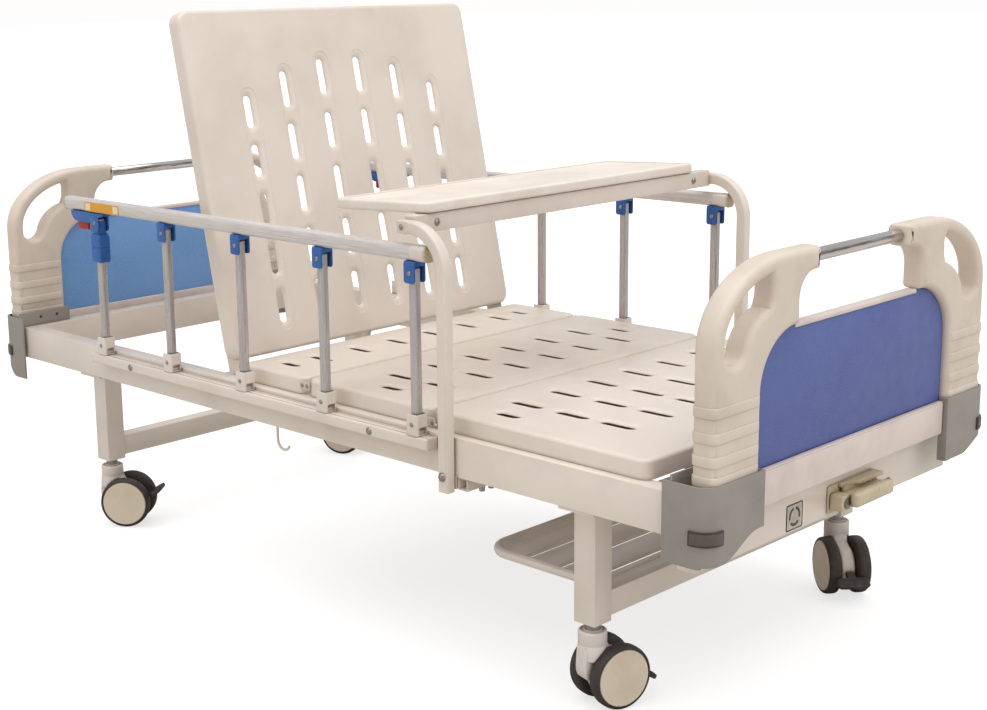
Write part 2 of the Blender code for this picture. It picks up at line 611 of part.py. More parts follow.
# ------------------------------------------------------------------ crank and lifting screw
def build_drive():
    mount_x = (FRAME_END, FRAME_END + 0.0035)
    plate_shape = box(mount_x, (-0.020, 0.149), (0.3187, 0.3744))
    hole = rod((mount_x[0] - 0.02, SCREW_Y, SCREW_Z), (mount_x[1] + 0.02, SCREW_Y, SCREW_Z),
               SCREW_RADIUS + 0.001)
    piece("crank_mount", fuse([plate_shape], [hole]), CREAM_PLASTIC, round_shape=False)

    axis = (0, SCREW_Y, SCREW_Z)
    hub_x = (1.0885, 1.1165)
    screw = rod((SCREW_START, SCREW_Y, SCREW_Z), (sum(hub_x) / 2, SCREW_Y, SCREW_Z), SCREW_RADIUS)
    hub = plate([rounded_rectangle((-0.016, 0.016), (0.327, 0.3595), 0.005)], "YZ", *hub_x)
    piece("lead_screw", fuse([screw, hub]), STEEL, pivot=axis)

    arm_x, arm_y = (1.0925, 1.116), (0.0165, 0.149)
    bar = plate([rounded_rectangle(arm_y, (0.330, 0.357), 0.006)], "YZ", *arm_x)
    web = box((arm_x[0], arm_x[0] + 0.005), (arm_y[0] + 0.004, arm_y[1] - 0.004), (0.355, 0.368))
    hood = [(1.088, arm_y[0]), (1.094, arm_y[0]), (1.096, 0.040), (1.100, 0.054), (1.1055, 0.064),
            (1.1085, 0.078), (1.109, arm_y[1]), (1.088, arm_y[1])]
    arm = fuse([bar, web, plate([hood], "XY", 0.366, 0.3744)])
    piece("crank_arm", arm, CREAM_PLASTIC, pivot=axis)

    grip_x, grip_y = (1.1178, 1.1385), (0.004, 0.1463)
    grip = plate([rounded_rectangle(grip_x, grip_y, 0.0103)], "XY", 0.335, 0.365, rounding=0.007)
    hinge_x = sum(grip_x) / 2
    piece("crank_grip", grip, CREAM_PLASTIC, pivot=(hinge_x, grip_y[1] - 0.0103, 0.350))

    pin_x = BACK_PIVOT[0] - LIFT_RADIUS * sin(LIFT_LEAN)
    bore_end = pin_x + 0.042
    nut = box((0.150, 0.190), (SCREW_Y - 0.020, SCREW_Y + 0.020), (SCREW_Z - 0.020, SCREW_Z + 0.020))
    tube = rod((pin_x + 0.030, SCREW_Y, SCREW_Z), (0.152, SCREW_Y, SCREW_Z), 0.014)
    bore = rod((bore_end, SCREW_Y, SCREW_Z), (0.250, SCREW_Y, SCREW_Z), SCREW_RADIUS + 0.0008)
    yoke = box((pin_x + 0.018, pin_x + 0.034), (SCREW_Y - 0.0145, SCREW_Y + 0.0145),
               (SCREW_Z - 0.0140, SCREW_Z + 0.0140))
    parts = [tube, nut, yoke]
    slots = [bore]
    for sign in (-1, 1):
        cheek_y = (SCREW_Y + sign * 0.0055, SCREW_Y + sign * 0.0125)
        outline = rounded_rectangle((pin_x - 0.015, pin_x + 0.026), (SCREW_Z - 0.031, SCREW_Z + 0.031), 0.008)
        parts.append(plate([outline], "XZ", *sorted(cheek_y)))
    window = rounded_rectangle((pin_x - 0.0090, pin_x + 0.0090), (SCREW_Z - 0.0240, SCREW_Z + 0.0240), 0.007)
    slots.append(plate([window], "XZ", SCREW_Y - 0.03, SCREW_Y + 0.03))
    piece("push_tube", fuse(parts, slots), STEEL, pivot=(pin_x, SCREW_Y, SCREW_Z))


# ------------------------------------------------------------------ guard rails
def build_guard_lower_bar(name, side):
    """The fixed bar on the frame's side, with an open shoe for each post."""
    y = (side * (RAIL_OUTER + GAP), side * 0.5215)
    parts = [box((-0.691, 0.488), y, (0.436, 0.461))]
    block_half = 0.0165
    cheeks = ((0.4905, 0.4934), (0.5186, 0.5215))
    for x in GUARD_POSTS:
        for low, high in cheeks:
            parts.append(box((x - 0.015, x + block_half), (side * low, side * high), (0.4605, 0.505)))
        parts.append(box((x + 0.0135, x + block_half), (side * 0.4910, side * 0.5210), (0.4605, 0.5045)))
    piece(name, fuse(parts), IVORY_PAINT, round_shape=False)


def build_guard_post(name, x, side, with_grip):
    """An aluminium post that folds about its foot; the first one carries the release grip."""
    height = (GUARD_LOW_PIVOT - POST_HALF, GUARD_HIGH_PIVOT + POST_HALF - 0.002)
    outline = (arc((x, height[0] + POST_HALF), (POST_HALF, POST_HALF), 180, 360, 6)
               + arc((x, height[1] - POST_HALF), (POST_HALF, POST_HALF), 0, 180, 6))
    y = side * GUARD_Y
    shape = plate([outline], "XZ", y - POST_HALF, y + POST_HALF, rounding=0.007, steps=1)
    material = ALUMINIUM
    if with_grip:
        grip = rounded_rectangle((x - 0.021, x + 0.019), (0.694, 0.764), 0.010)
        shape = fuse([shape, plate([grip], "XZ", y - 0.0155, y + 0.0155, rounding=0.004)])
    piece(name, shape, material, pivot=(x, y, GUARD_LOW_PIVOT))


def build_guard_top(side_name, side):
    """The hand rail with its clevises, the release bracket and the trigger in it."""
    y = side * GUARD_Y
    rail_x = (-0.778, 0.4895)
    section = rounded_rectangle((y - 0.015, y + 0.015), (0.815, GUARD_TOP), 0.009)
    parts = [plate([section], "YZ", *rail_x)]
    cheek = (0.0130, 0.0162)
    for x in GUARD_POSTS[1:]:
        outline = rounded_rectangle((x - 0.015, x + 0.015), (0.771, 0.8065), 0.008)
        for sign in (-1, 1):
            faces = sorted((y + sign * cheek[0], y + sign * cheek[1]))
            parts.append(plate([outline], "XZ", *faces))
        parts.append(box((x - 0.0148, x + 0.0148), (y - cheek[1] + 0.0004, y + cheek[1] - 0.0004),
                         (0.8045, 0.8160)))
    pivot = (GUARD_POSTS[0], y, GUARD_HIGH_PIVOT)
    piece(f"guard_top_rail_{side_name}", fuse(parts), ALUMINIUM, pivot=pivot)

    x = GUARD_POSTS[0]
    top = 0.815 - GAP
    arm = [(x - 0.101, top), (x - 0.092, 0.796), (x - 0.080, 0.789), (x - 0.016, 0.789),
           (x + 0.018, 0.8045), (x + 0.036, 0.8100), (x + 0.036, top)]
    bracket = [plate([arm], "XZ", y - 0.0155, y + 0.0155)]
    for sign in (-1, 1):
        outline = rounded_rectangle((x - 0.0185, x + 0.0165), (0.7685, 0.8080), 0.009)
        faces = sorted((y + sign * cheek[0], y + sign * cheek[1]))
        bracket.append(plate([outline], "XZ", *faces))
    post_room = box((x - 0.0145, x + 0.060), (y - cheek[0], y + cheek[0]), (0.760, 0.8055))
    trigger_room = box((x - 0.0805, x - 0.0335), (y - 0.0105, y + 0.0105), (0.780, 0.8030))
    piece(f"guard_release_bracket_{side_name}", fuse(bracket, [post_room, trigger_room]), BLUE_PLASTIC,
          pivot=pivot)
    stem = box((x - 0.0795, x - 0.0345), (y - 0.0100, y + 0.0100), (0.7695, 0.7955))
    piece(f"guard_release_trigger_{side_name}", stem, RED_PLASTIC, pivot=pivot, round_shape=False)


def build_guard_rail(side_name, side):
    build_guard_lower_bar(f"guard_lower_bar_{side_name}", side)
    for number, x in enumerate(GUARD_POSTS, start=1):
        build_guard_post(f"guard_post_{number}_{side_name}", x, side, number == 1)
    build_guard_top(side_name, side)


# ------------------------------------------------------------------ over-bed table
def build_table():
    """The square-tube arch that carries the tray, and the hinged tray."""
    half = TABLE_TUBE / 2
    leg_x = TABLE_PIVOT[0]
    bend_centre = (leg_x - TABLE_BEND, TABLE_ARM - TABLE_BEND)
    outer, inner = TABLE_BEND + half, TABLE_BEND - half
    arm_end = 0.412
    leg_bottom = TABLE_PIVOT[1] - 0.033
    outline = [(leg_x - half, leg_bottom), (leg_x + half, leg_bottom)]
    outline += arc(bend_centre, (outer, outer), 0, 90, 9)
    outline += [(arm_end, TABLE_ARM + half), (arm_end, TABLE_ARM - half)]
    outline += arc(bend_centre, (inner, inner), 90, 0, 7)
    parts = []
    bolts = []
    for side in SIDES.values():
        y = side * TABLE_Y
        parts.append(plate([outline], "XZ", y - half, y + half))
        bolts.append(rod((leg_x, side * (TABLE_Y + half - 0.002), TABLE_PIVOT[1]),
                         (leg_x, side * (TABLE_Y + half + 0.0075), TABLE_PIVOT[1]), 0.009, 12, 0.005))
    reach = TABLE_Y - half + 0.003
    crossbar = box((0.410, 0.436), (-reach, reach), (0.8625, 0.9005))
    frame = fuse([*parts, crossbar, *bolts])
    piece("table_frame", frame, IVORY_PAINT, pivot=(leg_x, 0, TABLE_PIVOT[1]), round_shape=False)

    depth, thickness, overhang = 0.270, 0.022, 0.005
    outline = rounded_rectangle((-depth, overhang), (-0.470, 0.428), 0.030)
    tray = plate([outline], "XY", GAP, thickness + GAP, rounding=0.006)
    board = piece("table_board", tray, IVORY_PLASTIC, turn=(0, -TABLE_SAG, 0))
    place(board, (BOARD_HINGE[0], 0, BOARD_HINGE[1]))


# ------------------------------------------------------------------ casters
def caster_fork():
    """Swivel housing, stem and the body between the wheels; the swivel axis is x = y = 0."""
    axle = (WHEEL_TRAIL, WHEEL_RADIUS)
    housing = rod((0, 0, 0.104), (0, 0, 0.156), HOUSING_RADIUS, 28)
    cap = rod((0, 0, 0.1555), (0, 0, 0.1600), 0.0215, 20)
    neck = rod((0, 0, 0.1595), (0, 0, 0.1680), 0.0140, 16)
    stem = rod((0, 0, 0.1675), (0, 0, 0.1960), 0.0060, 12)
    body = [(-0.0270, 0.125), (-0.0295, 0.100), (-0.0300, 0.080), (-0.0275, 0.068), (-0.0215, 0.061)]
    body += arc(axle, (0.047, 0.047), 205, 430, 16)
    body += [(0.0240, 0.125)]
    web = plate([body], "XZ", -FORK_HALF, FORK_HALF, rounding=0.003, steps=1)
    bore = rod((axle[0], -0.03, axle[1]), (axle[0], 0.03, axle[1]), 0.0056, 16)
    wells = [rod((axle[0], sign * 0.0172, axle[1]), (axle[0], sign * 0.0600, axle[1]),
                 WHEEL_RADIUS + 0.0012, 36) for sign in (-1, 1)]
    return fuse([housing, web, cap, neck, stem], [bore, *wells])


def caster_wheels():
    """A pair of tyres on one axle."""
    axle = (WHEEL_TRAIL, WHEEL_RADIUS)
    circle = arc(axle, (WHEEL_RADIUS, WHEEL_RADIUS), 0, 345, 23)
    parts = [plate([circle], "XZ", *sorted((sign * TYRE[0], sign * TYRE[1])), rounding=0.005)
             for sign in (-1, 1)]
    parts.append(rod((axle[0], -0.020, axle[1]), (axle[0], 0.020, axle[1]), 0.0050, 12))
    return fuse(parts)


def caster_pedal():
    """Brake pedal drawn level, outside the tyres' radius on the trailing side."""
    x, z = PEDAL_AXIS
    shank = box((x + 0.0085, x + 0.030), (-0.0095, 0.0095), (z - 0.004, z + 0.004))
    tread = rounded_rectangle((x + 0.0250, x + 0.0520), (-0.037, 0.037), 0.009, 3)
    return fuse([shank, plate([tread], "XY", z - 0.0045, z + 0.0045, rounding=0.002, steps=1)])


def build_casters():
    fork, wheels, pedal = caster_fork(), caster_wheels(), caster_pedal()
    shapes = {"fork": (fork, (0, 0, 0), CASTER_GREY),
              "wheels": (wheels, (WHEEL_TRAIL, 0, WHEEL_RADIUS), BLACK_RUBBER),
              "pedal": (pedal, (PEDAL_AXIS[0], 0, PEDAL_AXIS[1]), BLACK_RUBBER)}
    for kind, (shape, pivot, material) in shapes.items():
        mesh = shape.data
        mesh.transform(Matrix.Translation(-Vector(pivot)) @ shape.matrix_world)
        mesh.name = f"caster_{kind}"
        mesh.materials.clear()
        mesh.materials.append(material)
        mesh.shade_smooth()
        mesh.set_sharp_from_angle(angle=radians(35))
        for corner, (end, side, heading, tilt) in CASTERS.items():
            obj = bpy.data.objects.new(f"caster_{kind}_{corner}", mesh)
            turn = Matrix.Rotation(heading, 4, "Z")
            centre = Vector((LEG_X[end], side * LEG_Y, 0))
            obj.location = centre + turn @ Vector(pivot)
            obj.rotation_euler = (0, tilt if kind == "pedal" else 0, heading)
            BED.objects.link(obj)
        bpy.data.objects.remove(shape, do_unlink=True)


# ------------------------------------------------------------------ the whole bed
build_main_frame()
build_foot_end_panel()
for end_name, end in ENDS.items():
    build_leg_frame(f"{end_name}_leg_frame", end)
    build_end_board(end_name, end)
    for side_name, side in SIDES.items():
        build_corner_sleeve(f"corner_sleeve_{end_name}_{side_name}", end, side)
build_shoe_rack()
build_drainage_hook()
build_platform()
build_backrest()
build_drive()
for side_name, side in SIDES.items():
    build_guard_rail(side_name, side)
build_table()
build_casters()
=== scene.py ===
"""Looks of the adjustable hospital bed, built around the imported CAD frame.

Metres, +Z up.  Shapes are drawn with heights from the frame's zero level and are lifted by
DATUM when they are shown, so they meet the CAD pieces; the casters are drawn from the floor.
`side` is -1 for -Y and +1 for +Y, `end` is +1 for the foot end and -1 for the head end.
"""
import json
from math import cos, pi, radians, sin

import bmesh
import bpy
from mathutils import Matrix, Vector

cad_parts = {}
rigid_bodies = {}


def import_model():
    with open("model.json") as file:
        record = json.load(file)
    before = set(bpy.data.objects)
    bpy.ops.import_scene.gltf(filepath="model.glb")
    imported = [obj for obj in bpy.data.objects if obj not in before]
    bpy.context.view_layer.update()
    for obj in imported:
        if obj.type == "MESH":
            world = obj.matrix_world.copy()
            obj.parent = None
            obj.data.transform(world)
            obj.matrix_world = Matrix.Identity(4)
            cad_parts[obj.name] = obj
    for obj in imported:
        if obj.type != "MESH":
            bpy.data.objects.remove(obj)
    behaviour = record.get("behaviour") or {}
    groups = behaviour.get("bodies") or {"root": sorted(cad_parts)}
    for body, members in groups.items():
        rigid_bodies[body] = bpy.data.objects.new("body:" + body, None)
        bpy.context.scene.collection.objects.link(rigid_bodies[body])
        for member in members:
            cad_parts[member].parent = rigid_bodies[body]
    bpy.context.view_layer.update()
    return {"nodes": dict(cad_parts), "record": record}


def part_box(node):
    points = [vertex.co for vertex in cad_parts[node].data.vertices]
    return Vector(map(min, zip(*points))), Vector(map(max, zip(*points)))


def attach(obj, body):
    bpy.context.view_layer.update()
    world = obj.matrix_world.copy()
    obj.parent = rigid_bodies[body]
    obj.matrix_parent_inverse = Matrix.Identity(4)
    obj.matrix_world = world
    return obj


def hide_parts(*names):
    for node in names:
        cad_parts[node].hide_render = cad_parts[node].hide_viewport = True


for leftover in list(bpy.data.objects):
    bpy.data.objects.remove(leftover, do_unlink=True)
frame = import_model()

RAIL_TOP = 0.468  # of the side rails
GUARD_BAR_Z = (0.436, 0.461)  # of the lower guard bars
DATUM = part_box("guard_lower_bar_right")[0].z - GUARD_BAR_Z[0]
SIDES = {"right": -1, "left": 1}
ENDS = {"foot": 1, "head": -1}
FRAME_END = 1.084  # outer face of the foot end panel


# ------------------------------------------------------------------ materials
def linear(*rgb):
    """Display colour 0-255 to scene colour."""
    return tuple((c / 255 / 12.92) if c <= 10 else ((c / 255 + 0.055) / 1.055) ** 2.4 for c in rgb)


class Finish:
    """A procedural material; each method adds one kind of surface detail."""

    def __init__(self, name, colour, roughness, metallic=0.0, coat=0.0):
        self.material = bpy.data.materials.new(name)
        self.material.use_nodes = True
        self.tree = self.material.node_tree
        self.shader = self.tree.nodes["Principled BSDF"]
        self.shader.inputs["Metallic"].default_value = metallic
        self.shader.inputs["Coat Weight"].default_value = coat
        self.shader.inputs["Coat Roughness"].default_value = 0.12
        self.where = self.node("ShaderNodeTexCoord").outputs["Object"]
        self.colour = self.rgb(colour)
        self.roughness = self.value(roughness)
        self.height = None

    def node(self, kind, **settings):
        made = self.tree.nodes.new(kind)
        for key, value in settings.items():
            setattr(made, key, value)
        return made

    def rgb(self, colour):
        made = self.node("ShaderNodeRGB")
        made.outputs[0].default_value = (*linear(*colour), 1.0)
        return made.outputs[0]

    def value(self, number):
        made = self.node("ShaderNodeValue")
        made.outputs[0].default_value = number
        return made.outputs[0]

    def link(self, source, target):
        self.tree.links.new(source, target)

    def texture(self, kind, scale, stretch=(1, 1, 1), **settings):
        """A texture in object space, stretched along the axes."""
        mapping = self.node("ShaderNodeMapping")
        mapping.inputs["Scale"].default_value = stretch
        self.link(self.where, mapping.inputs["Vector"])
        made = self.node(kind, **settings)
        made.inputs["Scale"].default_value = scale
        self.link(mapping.outputs[0], made.inputs["Vector"])
        return made

    def noise(self, scale, detail=3.0, stretch=(1, 1, 1)):
        made = self.texture("ShaderNodeTexNoise", scale, stretch)
        made.inputs["Detail"].default_value = detail
        made.inputs["Roughness"].default_value = 0.55
        return made.outputs["Fac"]

    def cells(self, scale):
        return self.texture("ShaderNodeTexVoronoi", scale, feature="SMOOTH_F1").outputs["Distance"]

    def ramp(self, source, low, high, out_low=0.0, out_high=1.0):
        made = self.node("ShaderNodeMapRange", interpolation_type="SMOOTHSTEP")
        limits = {"From Min": low, "From Max": high, "To Min": out_low, "To Max": out_high}
        for key, number in limits.items():
            made.inputs[key].default_value = number
        self.link(source, made.inputs["Value"])
        return made.outputs[0]

    def maths(self, operation, first, second=0.0):
        made = self.node("ShaderNodeMath", operation=operation)
        for source, target in zip((first, second), made.inputs):
            if isinstance(source, (int, float)):
                target.default_value = source
            else:
                self.link(source, target)
        return made.outputs[0]

    def tint(self, factor, other):
        """Mix another colour into the colour so far."""
        made = self.node("ShaderNodeMix", data_type="RGBA")
        for source, socket in ((factor, 0), (self.colour, 6), (self.rgb(other), 7)):
            self.link(source, made.inputs[socket])
        self.colour = made.outputs[2]

    def mottle(self, other, scale, low=0.42, high=0.62, detail=4.0, stretch=(1, 1, 1)):
        """Patches of another colour."""
        self.tint(self.ramp(self.noise(scale, detail, stretch), low, high), other)

    def shade_creases(self, other, reach, strength):
        """Painted shade: the colour turns towards another where surfaces meet, by ambient occlusion."""
        made = self.node("ShaderNodeAmbientOcclusion", samples=3, only_local=False)
        made.inputs["Distance"].default_value = reach
        self.tint(self.ramp(made.outputs["AO"], 0.35, 0.95, strength, 0.0), other)

    def edges(self, other, width, strength):
        """Lighter patches along edges, where the rounded normal leaves the flat one: wear, and on the powder
        coat a painted highlight.
        """
        rounded = self.node("ShaderNodeBevel", samples=3)
        rounded.inputs["Radius"].default_value = width
        dot = self.node("ShaderNodeVectorMath", operation="DOT_PRODUCT")
        self.link(rounded.outputs[0], dot.inputs[0])
        self.link(self.node("ShaderNodeNewGeometry").outputs["Normal"], dot.inputs[1])
        mask = self.ramp(dot.outputs["Value"], 0.90, 0.998, 1.0, 0.0)
        patchy = self.ramp(self.noise(60.0), 0.45, 0.65)
        self.tint(self.maths("MULTIPLY", self.maths("MULTIPLY", mask, patchy), strength), other)

    def uneven_gloss(self, scale, spread, stretch=(1, 1, 1)):
        change = self.ramp(self.noise(scale, 4.0, stretch), 0.3, 0.7, -spread, spread)
        self.roughness = self.maths("ADD", self.roughness, change)

    def bump(self, source, depth):
        scaled = self.maths("MULTIPLY", source, depth)
        self.height = scaled if self.height is None else self.maths("ADD", self.height, scaled)

    def done(self):
        if self.height is not None:
            bump = self.node("ShaderNodeBump")
            bump.inputs["Strength"].default_value = 1.0
            bump.inputs["Distance"].default_value = 1.0
            self.link(self.height, bump.inputs["Height"])
            self.link(bump.outputs[0], self.shader.inputs["Normal"])
        self.link(self.colour, self.shader.inputs["Base Color"])
        self.link(self.roughness, self.shader.inputs["Roughness"])
        return self.material


def paint(name, colour, shade, roughness=0.34):
    """Powder coat: orange peel, soft patches, painted shade in corners, and a painted highlight with slight
    wear along the edges.
    """
    made = Finish(name, colour, roughness, coat=0.20)
    made.mottle(shade, 5.0, 0.40, 0.75)
    made.shade_creases((120, 96, 78), 0.008, 0.5)
    made.edges((250, 246, 240), 0.0012, 0.5)
    made.uneven_gloss(14.0, 0.06)
    made.bump(made.noise(900.0, 2.0), 0.00003)
    made.bump(made.noise(160.0, 2.0), 0.00002)
    return made.done()


def plastic(name, colour, shade, roughness=0.42, grain=0.00005, crease_shade=(110, 90, 75)):
    """Moulded plastic with a fine grain and painted shade where surfaces meet."""
    made = Finish(name, colour, roughness)
    made.mottle(shade, 9.0, 0.40, 0.72)
    made.shade_creases(crease_shade, 0.008, 0.45)
    made.uneven_gloss(25.0, 0.07)
    made.bump(made.cells(1100.0), grain)
    made.bump(made.noise(60.0, 2.0), 0.00005)
    return made.done()


def brushed(name, colour, shade, roughness, stretch, metallic=1.0):
    """Metal with fine lines along one direction."""
    made = Finish(name, colour, roughness, metallic)
    made.mottle(shade, 300.0, 0.35, 0.70, 4.0, stretch)
    made.uneven_gloss(220.0, 0.10, stretch)
    made.bump(made.noise(600.0, 3.0, stretch), 0.00003)
    return made.done()


def banded_chrome(name):
    """Polished metal whose bands stand for the dark and light areas of a studio."""
    made = Finish(name, (222, 220, 220), 0.09, 1.0)
    lines = (1, 0.05, 1)
    split = made.node("ShaderNodeSeparateXYZ")
    made.link(made.node("ShaderNodeNewGeometry").outputs["Normal"], split.inputs[0])
    rise = split.outputs[2]
    band = made.maths("MULTIPLY", made.ramp(rise, -0.10, 0.10), made.ramp(rise, 0.42, 0.60, 1.0, 0.0))
    made.tint(made.maths("MULTIPLY", band, 0.85), (92, 84, 78))
    # painted shade: faces that look down are darkened
    under = made.ramp(rise, -0.75, -0.55, 1.0, 0.0)
    made.tint(made.maths("MULTIPLY", under, 0.6), (120, 112, 104))
    made.mottle((206, 204, 204), 300.0, 0.35, 0.70, 4.0, lines)
    made.uneven_gloss(220.0, 0.05, lines)
    made.bump(made.noise(600.0, 3.0, lines), 0.00002)
    return made.done()


def blue_sheet(name, colour, shade):
    """Laminate with a leather grain and painted shade where surfaces meet."""
    made = Finish(name, colour, 0.55)
    made.mottle(shade, 4.0, 0.35, 0.75)
    made.mottle(tuple(min(255, c + 16) for c in colour), 420.0, 0.50, 0.72, 3.0)
    made.shade_creases((45, 45, 70), 0.006, 0.5)
    made.uneven_gloss(30.0, 0.06)
    made.bump(made.cells(420.0), 0.00016)
    made.bump(made.noise(1200.0, 2.0), 0.00005)
    return made.done()


def rubber(name, colour, shade):
    """Soft dark rubber, scuffed along its edges."""
    made = Finish(name, colour, 0.62)
    made.mottle(shade, 40.0, 0.45, 0.75)
    made.edges((120, 110, 100), 0.0015, 0.45)
    made.uneven_gloss(50.0, 0.12)
    made.bump(made.noise(700.0, 4.0), 0.00012)
    return made.done()


def patterned_label(name, centre, radius):
    """A pale label with a ring of arrows drawn in shader nodes round `centre`, in the YZ plane."""
    made = Finish(name, (196, 188, 176), 0.5)
    made.mottle((180, 172, 160), 80.0)
    split = made.node("ShaderNodeSeparateXYZ")
    made.link(made.where, split.inputs[0])
    u = made.maths("SUBTRACT", split.outputs[1], centre[0])
    v = made.maths("SUBTRACT", split.outputs[2], centre[1])
    square = made.maths("ADD", made.maths("MULTIPLY", u, u), made.maths("MULTIPLY", v, v))
    from_ring = made.maths("SUBTRACT", made.maths("SQRT", square), radius)
    on_ring = made.maths("LESS_THAN", made.maths("ABSOLUTE", from_ring), radius * 0.17)
    wave = made.maths("SINE", made.maths("MULTIPLY", made.maths("ARCTAN2", v, u), 3.0))
    arcs = made.maths("MULTIPLY", on_ring, made.maths("GREATER_THAN", wave, -0.80))
    frame_u = made.maths("GREATER_THAN", made.maths("ABSOLUTE", u), radius * 1.52)
    frame_v = made.maths("GREATER_THAN", made.maths("ABSOLUTE", v), radius * 1.42)
    made.tint(made.maths("MAXIMUM", arcs, made.maths("MAXIMUM", frame_u, frame_v)), (62, 54, 50))
    return made.done()


IVORY = paint("ivory_powder_coat", (228, 217, 206), (217, 206, 194))
BOARD = plastic("ivory_moulded_plastic", (219, 206, 192), (208, 194, 179))
TRIM = plastic("pale_trim_plastic", (222, 209, 202), (210, 197, 191), 0.38)
SLEEVE = plastic("grey_moulded_plastic", (150, 144, 137), (140, 134, 127), 0.48, 0.00007)
INSERT = plastic("dark_insert_plastic", (66, 58, 55), (50, 44, 42), 0.32)
INSERT_PALE = plastic("grey_insert_plastic", (96, 87, 83), (84, 76, 72), 0.36)
# painted shade: dark brown for the walls hanging inside the slots
SLOT_SHADE = plastic("painted_slot_shade", (86, 62, 52), (66, 46, 38), 0.60)
TRAY = plastic("tray_plastic", (236, 226, 215), (227, 216, 204), 0.40)
CREAM = plastic("cream_moulded_plastic", (200, 187, 158), (188, 174, 144), 0.34)
BLUE_FOOT = blue_sheet("blue_laminate", (89, 104, 164), (81, 95, 155))
BLUE_HEAD = blue_sheet("blue_laminate_head", (118, 164, 222), (108, 154, 212))
BLUE = plastic("blue_moulded_plastic", (38, 98, 172), (30, 84, 156), 0.30, 0.00003, (20, 35, 60))
RED = plastic("red_moulded_plastic", (172, 20, 20), (150, 14, 16), 0.32, 0.00003, (60, 5, 5))
YELLOW = plastic("yellow_sticker", (226, 164, 52), (220, 154, 44), 0.45, 0.00002, (150, 90, 30))
STICKER_PALE = plastic("pale_sticker_field", (240, 226, 196), (232, 214, 180), 0.45, 0.00002)
CASTER = plastic("caster_grey_plastic", (222, 213, 206), (210, 200, 192), 0.36)
DISC = plastic("wheel_disc_plastic", (222, 209, 189), (211, 197, 175), 0.34)
RUBBER = rubber("black_rubber", (58, 50, 47), (46, 40, 38))
ALUMINIUM = brushed("brushed_aluminium", (196, 191, 189), (180, 175, 174), 0.34, (1, 1, 0.05), 0.6)
RAIL_METAL = brushed("brushed_aluminium_rail", (222, 217, 215), (206, 200, 199), 0.36, (0.05, 1, 1), 0.35)
CHROME = banded_chrome("polished_chrome")
STEEL = brushed("zinc_steel", (150, 147, 142), (128, 124, 119), 0.38, (0.2, 1, 1))
RIVET = brushed("rivet_steel", (168, 164, 158), (138, 132, 126), 0.30, (1, 1, 1))


# ------------------------------------------------------------------ shape helpers
WORK = bpy.data.collections.new("work")
SHOWN = bpy.data.collections.new("bed_looks")
for group in (WORK, SHOWN):
    bpy.context.scene.collection.children.link(group)
WELD = 0.00002  # points closer than this are merged
BEVEL_ANGLE, SMOOTH_ANGLE = radians(35), radians(38)


def about(centre, half):
    return centre - half, centre + half


def blank(mesh, matrix=None):
    obj = bpy.data.objects.new("blank", mesh)
    obj.matrix_world = matrix or Matrix.Identity(4)
    WORK.objects.link(obj)
    return obj


def from_bmesh(data, matrix=None):
    mesh = bpy.data.meshes.new("blank")
    data.to_mesh(mesh)
    data.free()
    return blank(mesh, matrix)


def box(x, y, z, bevel=0.0):
    """A block between limits, with rounded edges if `bevel` is given."""
    limits = [sorted(pair) for pair in (x, y, z)]
    data = bmesh.new()
    bmesh.ops.create_cube(data, size=1.0)
    bmesh.ops.scale(data, vec=[high - low for low, high in limits], verts=data.verts)
    if bevel:
        bmesh.ops.bevel(data, geom=data.edges[:], offset=bevel, segments=3, profile=0.5, affect="EDGES")
    return from_bmesh(data, Matrix.Translation([(high + low) / 2 for low, high in limits]))


def lathe(profile, start, direction, sides=32):
    """A solid of revolution: profile holds (distance along the axis, radius) pairs."""
    turn = Vector(direction).to_track_quat("Z", "Y").to_matrix().to_4x4()
    data = bmesh.new()
    rings = []
    for along, radius in profile:
        turns = [2 * pi * i / sides for i in range(sides if radius else 1)]
        rings.append([data.verts.new((radius * cos(a), radius * sin(a), along)) for a in turns])
    for low, high in zip(rings, rings[1:]):
        for i in range(sides):
            j = (i + 1) % sides
            corners = [low[i % len(low)], low[j % len(low)], high[j % len(high)], high[i % len(high)]]
            unique = list(dict.fromkeys(corners))
            if len(unique) > 2:
                data.faces.new(unique)
    for ring in (rings[0], rings[-1]):
        if len(ring) > 1:
            data.faces.new(ring)
    bmesh.ops.recalc_face_normals(data, faces=data.faces)
    return from_bmesh(data, Matrix.Translation(Vector(start)) @ turn)


def rod(start, end, radius, sides=24):
    """A round bar with softened ends."""
    start, end = Vector(start), Vector(end)
    length = (end - start).length
    edge = min(0.0006, radius * 0.4, length * 0.4)
    profile = [(0, 0), (0, radius - edge), (edge * 0.3, radius - edge * 0.3), (edge, radius),
               (length - edge, radius), (length - edge * 0.3, radius - edge * 0.3), (length, radius - edge),
               (length, 0)]
    return lathe(profile, start, end - start, sides)


def dome(start, direction, radius, height):
    """A domed bolt or rivet head standing on a surface."""
    profile = [(-0.002, radius * 0.9), (0.0, radius)]
    profile += [(height * sin(radians(a)), radius * cos(radians(a))) for a in (18, 36, 54, 72)]
    profile.append((height, 0))
    return lathe(profile, start, direction, 20)


PLANES = {"XY": Matrix(((1, 0, 0), (0, 1, 0), (0, 0, 1))),
          "XZ": Matrix(((1, 0, 0), (0, 0, -1), (0, 1, 0))),
          "YZ": Matrix(((0, 0, 1), (1, 0, 0), (0, 1, 0)))}


def curve_to_blank(curve, matrix):
    drawn = bpy.data.objects.new("curve", curve)
    drawn.matrix_world = matrix
    WORK.objects.link(drawn)
    depsgraph = bpy.context.evaluated_depsgraph_get()
    mesh = bpy.data.meshes.new_from_object(drawn.evaluated_get(depsgraph))
    bpy.data.objects.remove(drawn, do_unlink=True)
    mesh.materials.clear()
    welded = bmesh.new()
    welded.from_mesh(mesh)
    bmesh.ops.remove_doubles(welded, verts=welded.verts, dist=WELD)
    bmesh.ops.recalc_face_normals(welded, faces=welded.faces)
    welded.to_mesh(mesh)
    welded.free()
    return blank(mesh, matrix)


